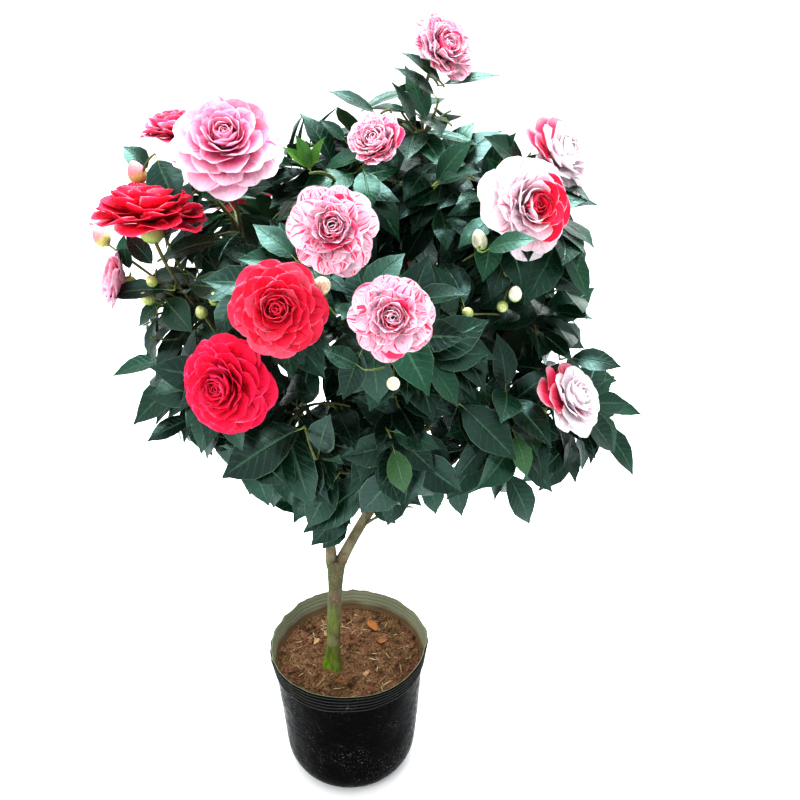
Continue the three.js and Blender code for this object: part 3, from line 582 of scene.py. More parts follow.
def grow(index, name, reach, count):
    """One mass: its stem, the bearers of its blooms and buds, its side shoots, and two
    finer twigs on every shoot; then leaves on all of them."""
    draw = seeded(1000 + 17 * index)
    tip, lead = axes[name][-1], bezier(axes[name], 1)[1]
    outward = unit(tip - HEART)
    start = tip - lead * MM
    aims = aims_of(draw, index, tip, outward, reach, count + EXTRA_SHOOTS + 3 * (outward[1] > 0.5))
    stem = [start, start + lead * 0.4 * np.linalg.norm(aims[0] - start), aims[0]]
    shoots = [add_twig(stem, 2.5 * MM, 1.3 * MM)]
    ends = bearers_of(name, start)
    branches = len(ends) + len(aims) - 1
    feet = [bezier(stem, 0.08 + 0.5 * i / branches)[0] for i in range(branches)]
    for foot, (end, facing, thin) in zip(feet, ends):
        shoots.append(add_twig(swing(foot, end, lead - facing), 1.9 * MM, thin))
    for foot, aim in zip(feet[len(ends):], aims[1:]):
        side = swing(foot, aim, lead)
        if clear(bezier(side, np.linspace(0.25, 1, 6))[0], 2 * MM, name, 0):
            shoots.append(add_twig(side, 1.9 * MM, 1.1 * MM))
    before = len(leaves)
    for number, shoot in enumerate(shoots):
        dress(shoot, 1.0, draw, outward, name, SPARSE.get(name, SHOOT_LEAVES), 0)
        for place, turned in ((0.42, 1.3), (0.72, 3.6)):
            foot, along = bezier(shoot, place)
            way = unit(along * 0.75 + beside(along, turned + number * GOLDEN + draw()))
            fine = swing(foot, foot + way * (30 + 16 * draw()) * MM, along)
            if clear(bezier(fine, np.linspace(0.4, 1, 4))[0], 1.5 * MM, name, EDGE_MARGIN / 2):
                add_twig(fine, 1.3 * MM, 0.9 * MM)
                young = draw() < YOUNG_SHARE
                dress(fine, 0.9, draw, outward, name, SPARSE.get(name, TWIG_LEAVES), young)
    return len(leaves) - before


# %% The room that blooms take
# radius, height, and what a full cup adds to the height
BLOOM_RINGS = [(0, 0.3, 0.4), (0.46, 0.34, 0.4), (0.5, 0.08, 0.3),
               (1, 0.14, 0.2), (0.4, -0.3, 0), (0, -0.42, 0)]


def bloom_space(centre, width, facing, cup):
    """Rings of a bloom's outer form, by radius and height in half widths, as a grid."""
    u, v = sideways(facing)
    a = np.linspace(0, 2 * np.pi, 13)[None, :, None]
    rows = np.array([(r * (1 - 0.25 * cup) * 0.92, h + k * cup) for r, h, k in BLOOM_RINGS])
    radius, height = rows[:, 0][:, None, None], rows[:, 1][:, None, None]
    return centre + width / 2 * (radius * (np.cos(a) * u + np.sin(a) * v) + height * facing)


for _, centre, width, facing, cup, _ in BLOOMS:
    placed.append((centre, width * 0.5, tree_of(bloom_space(centre, width, facing, cup))))

# %% Leaves at the rim, and the growing itself
# leaves that stand out at the rim of the crown: root, tip and width over length
REACHING = [
    ((-188, -70, 667), (-241, -80, 652), 0.4), ((-155, -100, 661), (-218, -105, 605), 0.46),
    ((-155, -100, 610), (-204, -110, 587), 0.42), ((-27, -190, 645), (-108, -185, 587), 0.5),
    ((-154, -112, 888), (-138, -128, 849), 0.75), ((-180, -60, 871), (-204, -50, 890), 0.7),
    ((-173, -110, 788), (-198, -100, 815), 0.5), ((-156, -125, 766), (-227, -110, 754), 0.3),
    ((46, -40, 922), (3, -50, 942), 0.42), ((106, -20, 936), (67, -25, 961), 0.42),
    ((112, -20, 948), (73, -20, 975), 0.36), ((117, -20, 946), (171, -25, 954), 0.3),
    ((88, -30, 906), (64, -45, 950), 0.44), ((96, -10, 897), (155, -20, 885), 0.26),
    ((108, -80, 860), (142, -90, 903), 0.5), ((108, -90, 862), (148, -110, 877), 0.4),
    ((193, -80, 873), (151, -95, 907), 0.6), ((230, -110, 806), (260, -115, 753), 0.45),
    ((151, -175, 821), (192, -195, 836), 0.45), ((257, -80, 673), (309, -90, 667), 0.5),
    ((284, -70, 615), (343, -75, 602), 0.36), ((292, -95, 601), (333, -105, 541), 0.36),
    ((188, -140, 562), (214, -145, 503), 0.5), ((201, -140, 588), (237, -140, 541), 0.4),
    ((-1, -90, 487), (-13, -100, 438), 0.5), ((102, -140, 564), (111, -145, 516), 0.5),
    ((127, -140, 569), (140, -140, 510), 0.42), ((4, -150, 565), (-28, -155, 505), 0.5),
    ((40, -110, 514), (67, -110, 479), 0.46), ((-107, -130, 600), (-148, -140, 615), 0.46),
    ((41, -140, 559), (-34, -150, 495), 0.42), ((17, -110, 509), (-30, -120, 456), 0.5),
    ((72, -120, 536), (58, -130, 491), 0.55), ((-14, -120, 547), (-78, -130, 545), 0.36),
    ((-23, -100, 498), (-84, -110, 514), 0.38), ((7, -90, 475), (-19, -100, 437), 0.62),
    ((-203, -90, 777), (-202, -92, 813), 0.55), ((-165, -100, 790), (-94, -112, 812), 0.32),
    ((19, -80, 901), (-4, -82, 920), 0.5), ((170, -70, 881), (183, -80, 908), 0.46),
]

# young leaves, with how young they are
YOUNG = [((-12, -122, 884), (-22, -130, 914), 0.45, 0.7), ((-10, -122, 884), (4, -128, 912), 0.4, 0.7),
         ((-13, -124, 884), (-34, -134, 904), 0.4, 0.7), ((66, -200, 628), (76, -206, 582), 0.5, 0.3),
         ((188, -170, 628), (202, -176, 582), 0.46, 0.3)]


def reaching_leaf(root, tip, broad, young=0.0):
    """A leaf from root to tip. Its heading starts half the bend above the straight line
    and its length is that of an arc over the line, so its tip ends where it should."""
    root, tip = np.array(root) * MM, np.array(tip) * MM
    span, cosmetic = unit(tip - root), looks.random(8)
    facing = np.array([0, -0.55, 0.8]) + 0.3 * unit(root - HEART)
    normal = unit(facing - (facing @ span) * span)
    bend = 0.25 + 0.4 * cosmetic[1]
    along = span * math.cos(bend / 2) + normal * math.sin(bend / 2)
    length = np.linalg.norm(tip - root) * (bend / 2) / math.sin(bend / 2)
    leaf = dict(root=root, along=along, stem=root - along * STALK, facing=facing, length=length,
                width=length * broad * 1.06, bend=bend, fold=0.1 + 0.16 * cosmetic[2], cup=0.0,
                ripple=0.05, waves=1.5, phase=cosmetic[5], twist=0.3 * (cosmetic[6] - 0.5),
                thick=LEAF_THICK, shade=cosmetic[7], young=young)
    placed.append(body_of(leaf)[1])
    leaves.append(leaf)


for made in REACHING + YOUNG:
    reaching_leaf(*made)
grown = [grow(i, *mass) for i, mass in enumerate(MASSES)]

# thin side branches that show below the crown: limb, place along it, tip
WANDS = [("limb_left", 0.14, (-102, -82, 530)), ("limb_left", 0.2, (-66, -88, 536)),
         ("limb_left", 0.3, (-112, 20, 590)), ("limb_right", 0.16, (88, -62, 470)),
         ("limb_right", 0.26, (118, -74, 530)), ("limb_right", 0.3, (20, 70, 540))]
for limb, at, tip in WANDS:
    foot, lead = bezier(axes[limb], at)
    add_twig(swing(foot, np.array(tip) * MM, lead), 2.1 * MM, 1.1 * MM)
grown_points = np.concatenate(twigs)
grown_headings = np.concatenate([unit(np.gradient(path, axis=0)) for path in twigs])
for leaf in leaves[: len(REACHING) + len(YOUNG)]:
    nearest = np.argmin(np.linalg.norm(grown_points - leaf["stem"], axis=1))
    add_twig(swing(grown_points[nearest], leaf["stem"], grown_headings[nearest]), 1.4 * MM, 1 * MM)
print("leaves", len(leaves), "twigs", len(twigs), "by mass", grown)

# %% [markdown]
# ## Finishes, made of nodes
# A finish is a small graph of nodes. A few helpers keep each one readable: one adds a
# node and wires its inputs, the others name what is used most, which is mixing colours,
# spreading a value over a range, and noise. Colours are given as they look on a screen
# and turned into light values by the display curve.

# %% Shader helpers
def srgb(*shown):
    """Light value of a shown 0-255 value: ((c / 255 + 0.055) / 1.055) ^ 2.4, plus alpha 1."""
    return (*((np.array(shown) / 255 + 0.055) / 1.055) ** 2.4, 1.0)


def shader(name, **sockets):
    """A material with one surface shader, whose sockets take the given constant values."""
    material = bpy.data.materials.new(name)
    material.use_nodes = True
    surface = material.node_tree.nodes["Principled BSDF"]
    for socket, value in sockets.items():
        surface.inputs[socket.replace("_", " ")].default_value = value
    return material, material.node_tree, surface


def add(tree, kind, inputs, **settings):
    """A node of a kind with its settings; its inputs take values or other nodes' outputs."""
    made = tree.nodes.new("ShaderNode" + kind)
    for key, value in settings.items():
        setattr(made, key, value)
    for key, value in inputs.items():
        if isinstance(value, bpy.types.NodeSocket):
            tree.links.new(value, made.inputs[key])
        else:
            made.inputs[key].default_value = value
    return made


def mixed(tree, share, first, second, way="MIX"):
    """A colour going from first to second as share goes from 0 to 1."""
    return add(tree, "Mix", {0: share, 6: first, 7: second}, data_type="RGBA", blend_type=way).outputs[2]


def spread(tree, value, low, high, start=0.0, end=1.0):
    """start at low and end at high, with a soft S between them."""
    inputs = {0: value, 1: low, 2: high, 3: start, 4: end}
    return add(tree, "MapRange", inputs, interpolation_type="SMOOTHSTEP").outputs[0]


def sums(tree, operation, first, second=0.0):
    """One step of arithmetic on two values."""
    return add(tree, "Math", {0: first, 1: second}, operation=operation).outputs[0]


def noise(tree, places, scale, detail=4.0):
    """Cloudy chance from 0 to 1 at the given places."""
    return add(tree, "TexNoise", {"Vector": places, "Scale": scale, "Detail": detail}).outputs[0]


def layered(tree, colour, *coats):
    """A colour under coats: each is a share, and the shown colour it brings."""
    for share, coat in coats:
        colour = mixed(tree, share, colour, srgb(*coat))
    return colour


def wired(material, surface, colour, height, distance):
    """The material, once its colour is linked, and its normals are tilted by a height that
    is worth distance metres from 0 to 1."""
    tree = material.node_tree
    bump = add(tree, "Bump", {"Height": height, "Distance": distance, "Strength": 1.0})
    tree.links.new(bump.outputs[0], surface.inputs["Normal"])
    tree.links.new(colour, surface.inputs["Base Color"])
    return material


def object_places(tree):
    """Places on the object itself, in metres."""
    return add(tree, "TexCoord", {}).outputs["Object"]


def pattern_places(tree):
    """Where a point is on its blade: the distance from the midrib (0) to the edge (1), the
    share of the length, 1 on the underside, and the way across as it is stored."""
    uv = add(tree, "UVMap", {}, uv_map="pattern").outputs[0]
    parts = add(tree, "SeparateXYZ", {0: uv})
    centred = sums(tree, "SUBTRACT", sums(tree, "FRACT", parts.outputs[0]), 0.5)
    edge = sums(tree, "MULTIPLY", sums(tree, "ABSOLUTE", centred), 2.0)
    return edge, parts.outputs[1], sums(tree, "GREATER_THAN", parts.outputs[0], 1.0), parts.outputs[0]


def tint_of(tree):
    """The colour and the chance number that each piece of a joined mesh was dealt."""
    dealt = add(tree, "Attribute", {}, attribute_name="tint")
    return dealt.outputs["Color"], dealt.outputs["Alpha"]


# %% Leaf, twig and bark finishes
def leaf_finish():
    """Satin dark green with a pale midrib, faint side veins and a pale rim that is a painted
    highlight; the underside is matt and yellower. Side veins are a sine of the length less the way to the
    edge."""
    material, tree, surface = shader("camellia_leaf", Specular_IOR_Level=0.6,
                                     Specular_Tint=(0.62, 1.0, 0.9, 1.0))
    tint, _ = tint_of(tree)
    edge, along, below, _ = pattern_places(tree)
    places = object_places(tree)
    rib = spread(tree, edge, 0.1, 0.02)
    rising = sums(tree, "SUBTRACT", sums(tree, "MULTIPLY", along, 9.0), sums(tree, "MULTIPLY", edge, 1.6))
    wave = sums(tree, "SINE", sums(tree, "MULTIPLY", rising, 2 * math.pi))
    vein = spread(tree, wave, 0.82, 1.0)
    patches = noise(tree, places, 55.0, 5.0)
    colour = layered(tree, tint,
                     (spread(tree, patches, 0.35, 0.8, 0.0, 0.5), (16, 54, 38)),
                     (sums(tree, "MULTIPLY", vein, 0.1), (84, 124, 92)),
                     (sums(tree, "MULTIPLY", rib, 0.26), (100, 140, 100)),
                     # painted highlight: a pale band along the leaf's edge stands in for light caught by the
                     # rim
                     (spread(tree, edge, 0.93, 1.0, 0.0, 0.35), (120, 144, 110)))
    colour = mixed(tree, below, colour, layered(tree, tint, (0.5, (78, 112, 66))))
    sheen = spread(tree, noise(tree, places, 140.0), 0.3, 0.7, 0.24, 0.36)
    tree.links.new(mixed(tree, below, sheen, 0.6 * np.ones(4)), surface.inputs["Roughness"])
    raised = sums(tree, "ADD", sums(tree, "MULTIPLY", rib, -0.8), sums(tree, "MULTIPLY", vein, -0.15))
    height = sums(tree, "ADD", raised, sums(tree, "MULTIPLY", patches, 0.8))
    return wired(material, surface, colour, height, 0.6 * MM)


def twig_finish(name, grain, dark):
    """Bark or young stem: the dealt tint, cloudy patches of a darker one, fine long grain
    from noise squeezed along the height, and small warts."""
    material, tree, surface = shader(name, Specular_IOR_Level=0.35, Roughness=0.62)
    tint, _ = tint_of(tree)
    places = object_places(tree)
    long = add(tree, "Mapping", {0: places, 3: (1.0, 1.0, 0.22)}).outputs[0]
    streaks = noise(tree, long, grain, 6.0)
    clouds = noise(tree, places, grain * 0.16, 3.0)
    warts = add(tree, "TexVoronoi", {0: places, "Scale": grain * 0.7}).outputs["Distance"]
    colour = layered(tree, tint,
                     (spread(tree, streaks, 0.35, 0.7, 0.0, 0.6), dark),
                     (spread(tree, clouds, 0.5, 0.72, 0.0, 0.55), (136, 128, 108)),
                     (spread(tree, warts, 0.22, 0.06, 0.0, 0.5), (150, 146, 120)))
    height = sums(tree, "ADD", streaks, spread(tree, warts, 0.2, 0.0, 0.0, 0.4))
    return wired(material, surface, colour, height, 0.9 * MM)


# %% Petal finishes
def petal_finish(name, rim, streak, wanted, fineness, rim_from):
    """The dealt tint, a rim colour towards the edge and the tip, strongest on pale petals,
    and streaks that run along the petal: noise of the way across times fineness and the
    length, past a threshold that falls with the share of streaks wanted."""
    material, tree, surface = shader(name, Specular_IOR_Level=0.2, Roughness=0.5, Subsurface_Weight=0.3,
                                     Subsurface_Radius=(1.0, 0.45, 0.55), Subsurface_Scale=3 * MM)
    tint, chance = tint_of(tree)
    edge, along, _, across = pattern_places(tree)
    wide, own = sums(tree, "MULTIPLY", across, fineness), sums(tree, "MULTIPLY", chance, 40.0)
    place = add(tree, "CombineXYZ", {0: wide, 1: along, 2: own}).outputs[0]
    lines = noise(tree, place, 1.0, 3.0)
    fade = sums(tree, "MAXIMUM", spread(tree, edge, rim_from, 1.0), spread(tree, along, rim_from + 0.15, 1.0))
    pale = spread(tree, add(tree, "SeparateColor", {0: tint}).outputs["Green"], 0.03, 0.3, 0.4, 0.85)
    colour = layered(tree, tint,
                     (sums(tree, "MULTIPLY", fade, pale), rim),
                     (spread(tree, lines, 0.64 - 0.3 * wanted, 0.76 - 0.3 * wanted, 0.0, 0.9), streak))
    shade = spread(tree, lines, 0.3, 0.6, 0.86, 1.0)
    grey = add(tree, "CombineXYZ", {0: shade, 1: shade, 2: shade}).outputs[0]
    fine = noise(tree, add(tree, "Mapping", {0: place, 3: (4.0, 1.0, 1.0)}).outputs[0], 1.0, 2.0)
    return wired(material, surface, mixed(tree, 1.0, colour, grey, "MULTIPLY"), fine, 0.7 * MM)


# %% Pot and soil finishes
def pot_finish():
    """Thin black film, scuffed: dull patches, pale specks that are partly dust and partly painted glints, and
    fine creases.
    """
    material, tree, surface = shader("black_film", Specular_IOR_Level=0.02)
    tint, _ = tint_of(tree)
    places = object_places(tree)
    dust = noise(tree, places, 160.0, 8.0)
    patches = noise(tree, places, 18.0, 4.0)
    flat = add(tree, "Mapping", {0: places, 3: (1.0, 1.0, 1.7)}).outputs[0]
    specks = noise(tree, flat, 330.0, 3.0)
    # painted highlight: the pale specks are partly dust and partly painted glints of light on the film
    grit_and_glints = sums(tree, "MULTIPLY", spread(tree, specks, 0.6, 0.7), spread(tree, patches, 0.42, 0.62))
    colour = layered(tree, tint,
                     (spread(tree, dust, 0.55, 0.8, 0.0, 0.1), (70, 68, 64)),
                     (sums(tree, "MULTIPLY", grit_and_glints, 0.6), (140, 138, 130)))
    tree.links.new(spread(tree, dust, 0.35, 0.7, 0.14, 0.4), surface.inputs["Roughness"])
    creases = sums(tree, "ADD", sums(tree, "MULTIPLY", patches, 2.0), dust)
    return wired(material, surface, colour, creases, 0.6 * MM)


def soil_finish():
    """Crumbly loam: dark and light browns by noise, reddish patches and pale flecks."""
    material, tree, surface = shader("loam", Specular_IOR_Level=0.2, Roughness=0.92)
    tint, _ = tint_of(tree)
    places = object_places(tree)
    grain, clods = noise(tree, places, 420.0, 8.0), noise(tree, places, 60.0, 6.0)
    colour = layered(tree, tint,
                     (spread(tree, clods, 0.35, 0.65), (146, 114, 84)),
                     (spread(tree, grain, 0.48, 0.34, 0.0, 0.85), (46, 30, 20)),
                     (spread(tree, grain, 0.6, 0.75, 0.0, 0.8), (210, 182, 150)))
    height = sums(tree, "ADD", grain, sums(tree, "MULTIPLY", clods, 2.0))
    return wired(material, surface, colour, height, 2.2 * MM)


print("finishes ready")

# %% [markdown]
# ## Trunk, limbs and boughs
# The trunk forks once into two limbs, and the boughs leave the limbs. Each is a ring
# carried along its curve, with long ridges and a few knots pressed into it by noise.
# Every limb starts inside its parent, with a wider collar there, so the wood runs on.

# %% Joining parts and bark
def joined(parts):
    """Many (points, faces) as one: each part's faces count on from the points before it."""
    points, blocks, before = [], [], 0
    for spots, faces in parts:
        spots = spots.reshape(-1, 3)
        points.append(spots)
        blocks += [b + before for b in faces]
        before += len(spots)
    return np.concatenate(points), blocks


def barked(path, radius, sides, ridge, knots):
    """A limb: the ring at each step of the path gets radius r(s), times 1 + ridges from
    noise in (cos a, sin a, length), which is squeezed so that they run along the limb."""
    steps = np.concatenate([[0], np.cumsum(np.linalg.norm(np.diff(path, axis=0), axis=1))])[:, None]
    x, y = np.cos(ring_angles(sides))[None], np.sin(ring_angles(sides))[None]
    fine, broad = together(x * 3, y * 3, steps / 0.03), together(x, y, steps / 0.035)
    radii = radius + ridge * rough(fine, 1.0, 3) + knots * rough(broad, 1.0, 5)
    return rods(path[None], radii[None], sides)[0], rod_faces(1, len(path), sides)


# %% The trunk
TRUNK_SIDES, TRUNK_ROWS = 48, 96
ROOTED = [0, 0, -20 * MM]       # the path starts this far down in the soil
CAP_UP, CAP_RADIUS = np.array([2, 3.5, 4]) * MM, np.array([0.9, 0.7, 0.35])
path = bezier([TRUNK_FOOT + ROOTED, *axes["trunk"]], np.linspace(0, 1, TRUNK_ROWS))[0]
steps = np.clip((path[:, 2] - TRUNK_FOOT[2]) / height, 0, 1)[:, None]
a = ring_angles(TRUNK_SIDES)[None]
flare = np.exp(-steps / 0.1)
collar = 1 + 0.1 * np.maximum(0, (steps - 0.72) / 0.28)
widen = 1 + 0.3 * np.maximum(0, (steps - 0.7) / 0.3) ** 1.5 * np.sin(a) ** 2
radius = (9 + 5.2 * flare) * (1 + 0.2 * flare * np.cos(3 * a - 2.1)) * collar * widen
path = np.concatenate([path, path[-1] + CAP_UP[:, None] * [0, 0, 1]])
radius = np.concatenate([radius, radius[-1:] * CAP_RADIUS[:, None]]) * MM
wood = [barked(path, radius, TRUNK_SIDES, 0.35 * MM, 0.5 * MM)]
print("trunk", len(path), "rings, widest", round(radius.max() / MM, 1), "mm")

# %% Limbs and boughs
for name, parent, _, side, *_ in LIMBS:
    big = parent == "trunk"
    rows, sides = (90, 32) if big else (56, 18)
    t = np.linspace(0, 1, rows)
    path, heading = bezier(axes[name], t)
    radius = tapered(*thickness[name], t) * (1 + (0.1 if big else 0.45) * np.exp(-t * rows / 3.5))
    if big:
        below = np.linspace(0, 1, 9)[:-1]
        inside = [TRUNK_FORK - [-side * 0.002, 0, 0.034], path[0] - heading[0] * 0.014, path[0]]
        path = np.concatenate([bezier(inside, below)[0], path])
        radius = np.concatenate([radius[0] * (0.6 + 0.4 * below), radius])
    wood.append(barked(path, radius[:, None], sides, 0.05 * radius.mean(), 0.09 * radius.mean()))
wood_points, wood_faces = joined(wood)
print("wood", len(wood_points), "points")

# %% [markdown]
# Bark colour has a place: yellow-green and mossy round the foot, most of all on the left,
# grey-brown up the middle, olive at the sides, and greener again on the thin boughs.

# %% Bark colours and the bark piece
def blend(first, second, share):
    """From one shown colour to another, by a share for each point."""
    share = np.clip(share, 0, 1)[:, None]
    return np.array(srgb(*first))[None] * (1 - share) + np.array(srgb(*second))[None] * share


def toward(tint, shown, share):
    """Each colour taken a share of the way to a shown one."""
    return tint + (np.array(srgb(*shown)) - tint) * share[..., None]


def bark_tint(points):
    """Reddish brown up the front, olive at the sides and by noise, moss up from the foot
    that is strongest on the left, and greener wood in the thin boughs."""
    height_up = (points[:, 2] - TRUNK_FOOT[2]) / height
    side = (points[:, 0] - TRUNK_FOOT[0] - 0.009 * height_up) / 0.009
    cloud, stem = rough(points, 0.02, 11), height_up < 1
    olive = 0.28 + 0.4 * cloud + 0.5 * np.minimum(side**2, 1.5) * stem
    tint = blend((104, 82, 66), (66, 74, 38), olive)
    moss = np.exp(-np.maximum(height_up, 0) / 0.3) * (0.95 - 0.35 * np.clip(side, -1, 1))
    tint = toward(tint, (122, 156, 34), np.clip(moss + 0.25 * cloud * (height_up < 0.7), 0, 1))
    tint = toward(tint, (76, 86, 42), np.clip((height_up - 0.8) / 1.2, 0, 0.6))
    tint[:, 3] = 1
    return tint


bark = piece("bark", wood_points, wood_faces, twig_finish("camellia_bark", 260.0, (70, 62, 48)),
             bark_tint(wood_points))

# %% [markdown]
# ## Twigs and leaf stalks
# Twigs are thin tapering rods along the curves that were grown. Each leaf hangs on a
# short stalk from its twig, which runs a little way into the blade as its midrib.

# %% Twigs and stalks
def rod_piece(name, paths, radii, finish, tint, sharp=60):
    """One mesh of many rods; tint is a colour for each rod, for each step of each rod, or
    for all of them."""
    points = rods(paths, radii, SIDES[name])
    tint = np.asarray(tint)
    tint = tint[:, None] if tint.ndim == 2 else tint
    tint = np.broadcast_to(tint[:, :, None], (*points.shape[:3], 4))
    return piece(name, points, rod_faces(*points.shape[:3]), finish, tint, sharp=sharp)


SIDES = {"twigs": 7, "leaf_stalks": 5, "bud_cores": 16, "soil_crumbs": 7, "straw": 5}
paths, radii = np.array(twigs), np.array(twig_feet)
knobs = 1 + 0.22 * rough(together(np.arange(TWIG_STEPS) * 7.3, np.arange(len(paths))[:, None], 0), 1.0, 2)
woody = np.clip((radii - 1 * MM) / (1.2 * MM), 0, 1)
twig_tint = blend((104, 124, 62), (92, 78, 58), woody.ravel()).reshape(*woody.shape, 4)
twig_piece = rod_piece("twigs", paths, radii * knobs,
                       twig_finish("camellia_twig", 700.0, (66, 60, 40)), twig_tint)

b = collected(leaves)
middle = (b["stem"] + b["root"]) / 2 - [0, 0, 0.6 * MM]
paths = np.stack([b["stem"], middle, b["root"], b["root"] + b["along"] * 5 * MM], 1)
radii = np.array([1.05, 0.8, 0.75, 0.35])[None] * MM * (b["length"] / LEAF)[:, None]
stalk_piece = rod_piece("leaf_stalks", paths, radii, twig_finish("leaf_stalk", 900.0, (92, 104, 52)),
                        [srgb(126, 146, 74)])

# %% [markdown]
# ## Foliage
# Leaves differ: most are dark and bluish, some mid green, a few young ones bright lime.
# The colour is dealt leaf by leaf. Two meshes hold them all, because a mesh that a person
# opens in Blender stays quick to handle under about a hundred thousand faces.

# %% Leaves
CROWN = np.array([300, 270, 290]) * MM


def blade_piece(name, b, outline, rows, finish):
    """One mesh from arrays of blades, each tinted by its own colour and a chance number."""
    count = len(b["root"])
    tint = np.array(b["tint"], float)
    tint[:, 3] = b["phase"]
    tint = tint[:, None, None].repeat(len(rows), 1).repeat(RING, 2)
    return piece(name, blades(b, rows, RING_T, outline, RING_DROP),
                 rod_faces(count, len(rows), RING, TOP_COLUMNS), finish, tint, blade_uv(count, rows))


def leaf_tints(b):
    """Dark to mid green by each leaf's shade, darker towards the heart of the crown as painted
    shade, by its distance over the crown's half sizes, and lime for the young."""
    tint = blend((2, 20, 11), (20, 64, 38), b["shade"] ** 1.7)
    out = np.linalg.norm((b["root"] - HEART) / CROWN, axis=1)
    # painted shade: leaves nearer the heart of the crown are darkened, down to an eighth, where shade falls
    # inside it
    tint *= np.clip((out - 0.2) / 0.7, 0.12, 1)[:, None]
    return toward(tint, (96, 144, 36), 0.75 * b["young"])


b["tint"] = leaf_tints(b)
leaf_green = leaf_finish()
foliage = []
order = np.argsort([leaf["root"][1] for leaf in leaves])
halves = np.split(order, [len(order) // 2])
for name, chosen in zip(("foliage_front", "foliage_back"), halves):
    part = {k: v[chosen] for k, v in b.items()}
    foliage.append(blade_piece(name, part, leaf_outline, LEAF_ROWS, leaf_green))

# %% [markdown]
# ## Blooms
# A formal double camellia is a spiral of petals. The outermost lie flat and curl back a
# little; each petal further in is shorter, stands steeper and curls over the heart. The
# kind of bloom only changes the number, the colours and how loose the petals are.

# %% Petals of one bloom
KINDS = {
    # petals, breadth, looseness, outer colour, heart colour, odd colour, share of odd petals
    "blush": (56, 0.9, 0.12, (250, 150, 192), (240, 72, 132), (232, 40, 96), 0.05),
    "rose": (50, 0.9, 0.15, (238, 84, 120), (230, 60, 100), (252, 190, 210), 0.15),
    "red": (60, 0.92, 0.2, (242, 62, 98), (236, 36, 74), (248, 104, 132), 0.2),
    "crimson": (60, 0.95, 0.24, (244, 28, 84), (228, 8, 62), (248, 66, 116), 0.2),
    "striped": (62, 0.86, 0.4, (255, 222, 236), (255, 204, 224), (246, 92, 136), 0.08),
    "bicolour": (48, 0.95, 0.26, (255, 242, 247), (254, 212, 225), (240, 44, 82), 0.0),
    "flecked": (44, 0.94, 0.14, (255, 250, 252), (255, 228, 237), (238, 72, 110), 0.0),
}
ODD_SIDES = {
    # the side where petals take the odd colour, how far round it goes, from which q to which
    "blush": ((0.7, 0, 0.7), 0.74, 0.16, 0.5),
    "bicolour": ((1, 0, 0.2), 0.4, 0.2, 1.1),
    "flecked": ((-0.6, 0, 0.8), 0.66, -0.1, 0.3),
}
NO_SIDE = ((0, 0, 0), 1, 1, 0)
petals = {kind: [] for kind in KINDS}
luck = np.random.default_rng(3)


def petal(facing, around, tilt, length, width, bend, cup, foot, chance):
    """One petal: its heading leans tilt from the way the bloom faces, towards around."""
    along = facing * math.cos(tilt) + around * math.sin(tilt)
    return dict(root=foot, along=along, facing=facing + 1e-3 * around, length=length, width=width,
                bend=bend, fold=0.0, cup=cup, ripple=0.05 + 0.1 * chance[0], waves=1 + chance[1],
                phase=chance[2], twist=0.5 * (chance[3] - 0.5), thick=0.5 * MM)


def bloom(centre, width, facing, cup, kind):
    """Petal i of n at angle i times the golden angle. q = i / (n - 1) goes from the rim to
    the heart: length falls by 0.6 q^1.3, tilt closes with q^1.6 from 86 degrees to 9, and
    the bend goes from curled back to curled over the heart. Loose blooms stay open there."""
    count, broad, loose, outer, heart, odd, odd_share = KINDS[kind]
    side, least, first, last = ODD_SIDES.get(kind, NO_SIDE)
    half = width / 2
    rim_tilt, heart_tilt = math.radians(86 - 34 * cup), math.radians(9 + 24 * loose)
    for i in range(count):
        q = i / (count - 1)
        chance = luck.random(8)
        around = beside(facing, i * GOLDEN + loose * (chance[4] - 0.5) * 1.6)
        tilt = rim_tilt + (heart_tilt - rim_tilt) * q**1.6 + loose * 0.5 * (chance[5] - 0.5)
        length = half * (1.03 - 0.6 * q**1.3) * (1 + loose * 0.2 * (chance[6] - 0.5))
        bend = 0.42 * (1 - cup) - (1.05 + 0.6 * cup) * (1 - 0.7 * loose) * q**0.85
        foot = centre + facing * half * (-0.3 + 0.22 * q) + around * 0.04 * half
        made = petal(facing, around, tilt, length, half * broad * (0.92 - 0.45 * q), bend,
                     0.16 + 0.34 * q, foot, chance)
        on_side = first < q < last and (around @ np.array(side) > least or q > 0.85)
        dealt_odd = on_side or chance[7] < odd_share
        made["tint"] = srgb(*odd) if dealt_odd else tuple(blend(outer, heart, np.array([q]))[0])
        made["ripple"] *= 1 + 4 * loose
        petals[kind].append(made)


for _, centre, width, facing, cup, kind in BLOOMS:
    bloom(centre, width, facing, cup, kind)
print("petals", {kind: len(made) for kind, made in petals.items()})

# %% Petal colours
PETAL_LOOKS = {
    # rim colour, streak colour, share of streaks, how fine they are, where the rim starts
    "blush": ((255, 236, 245), (240, 96, 150), 0.15, 10.0, 0.36),
    "rose": ((252, 170, 194), (224, 50, 96), 0.25, 10.0, 0.66),
    "red": ((248, 86, 110), (206, 16, 48), 0.25, 9.0, 0.84),
    "crimson": ((252, 62, 108), (196, 2, 42), 0.25, 9.0, 0.86),
    "striped": ((255, 236, 244), (236, 40, 92), 0.47, 13.0, 0.8),
    "bicolour": ((255, 244, 248), (238, 60, 98), 0.15, 12.0, 0.85),
    "flecked": ((255, 250, 252), (238, 110, 140), 0.15, 12.0, 0.6),
}
bloom_pieces = []
for kind, made in petals.items():
    bloom_pieces.append(blade_piece("petals_" + kind, collected(made), petal_outline, PETAL_ROWS,
                                    petal_finish("petal_" + kind, *PETAL_LOOKS[kind])))

# %% [markdown]
# ## Buds and calyxes
# A bud is an egg wrapped in green scales that overlap like tiles; an opening bud shows
# the folded petals at its tip. Under each bloom the same scales stay on as a calyx.

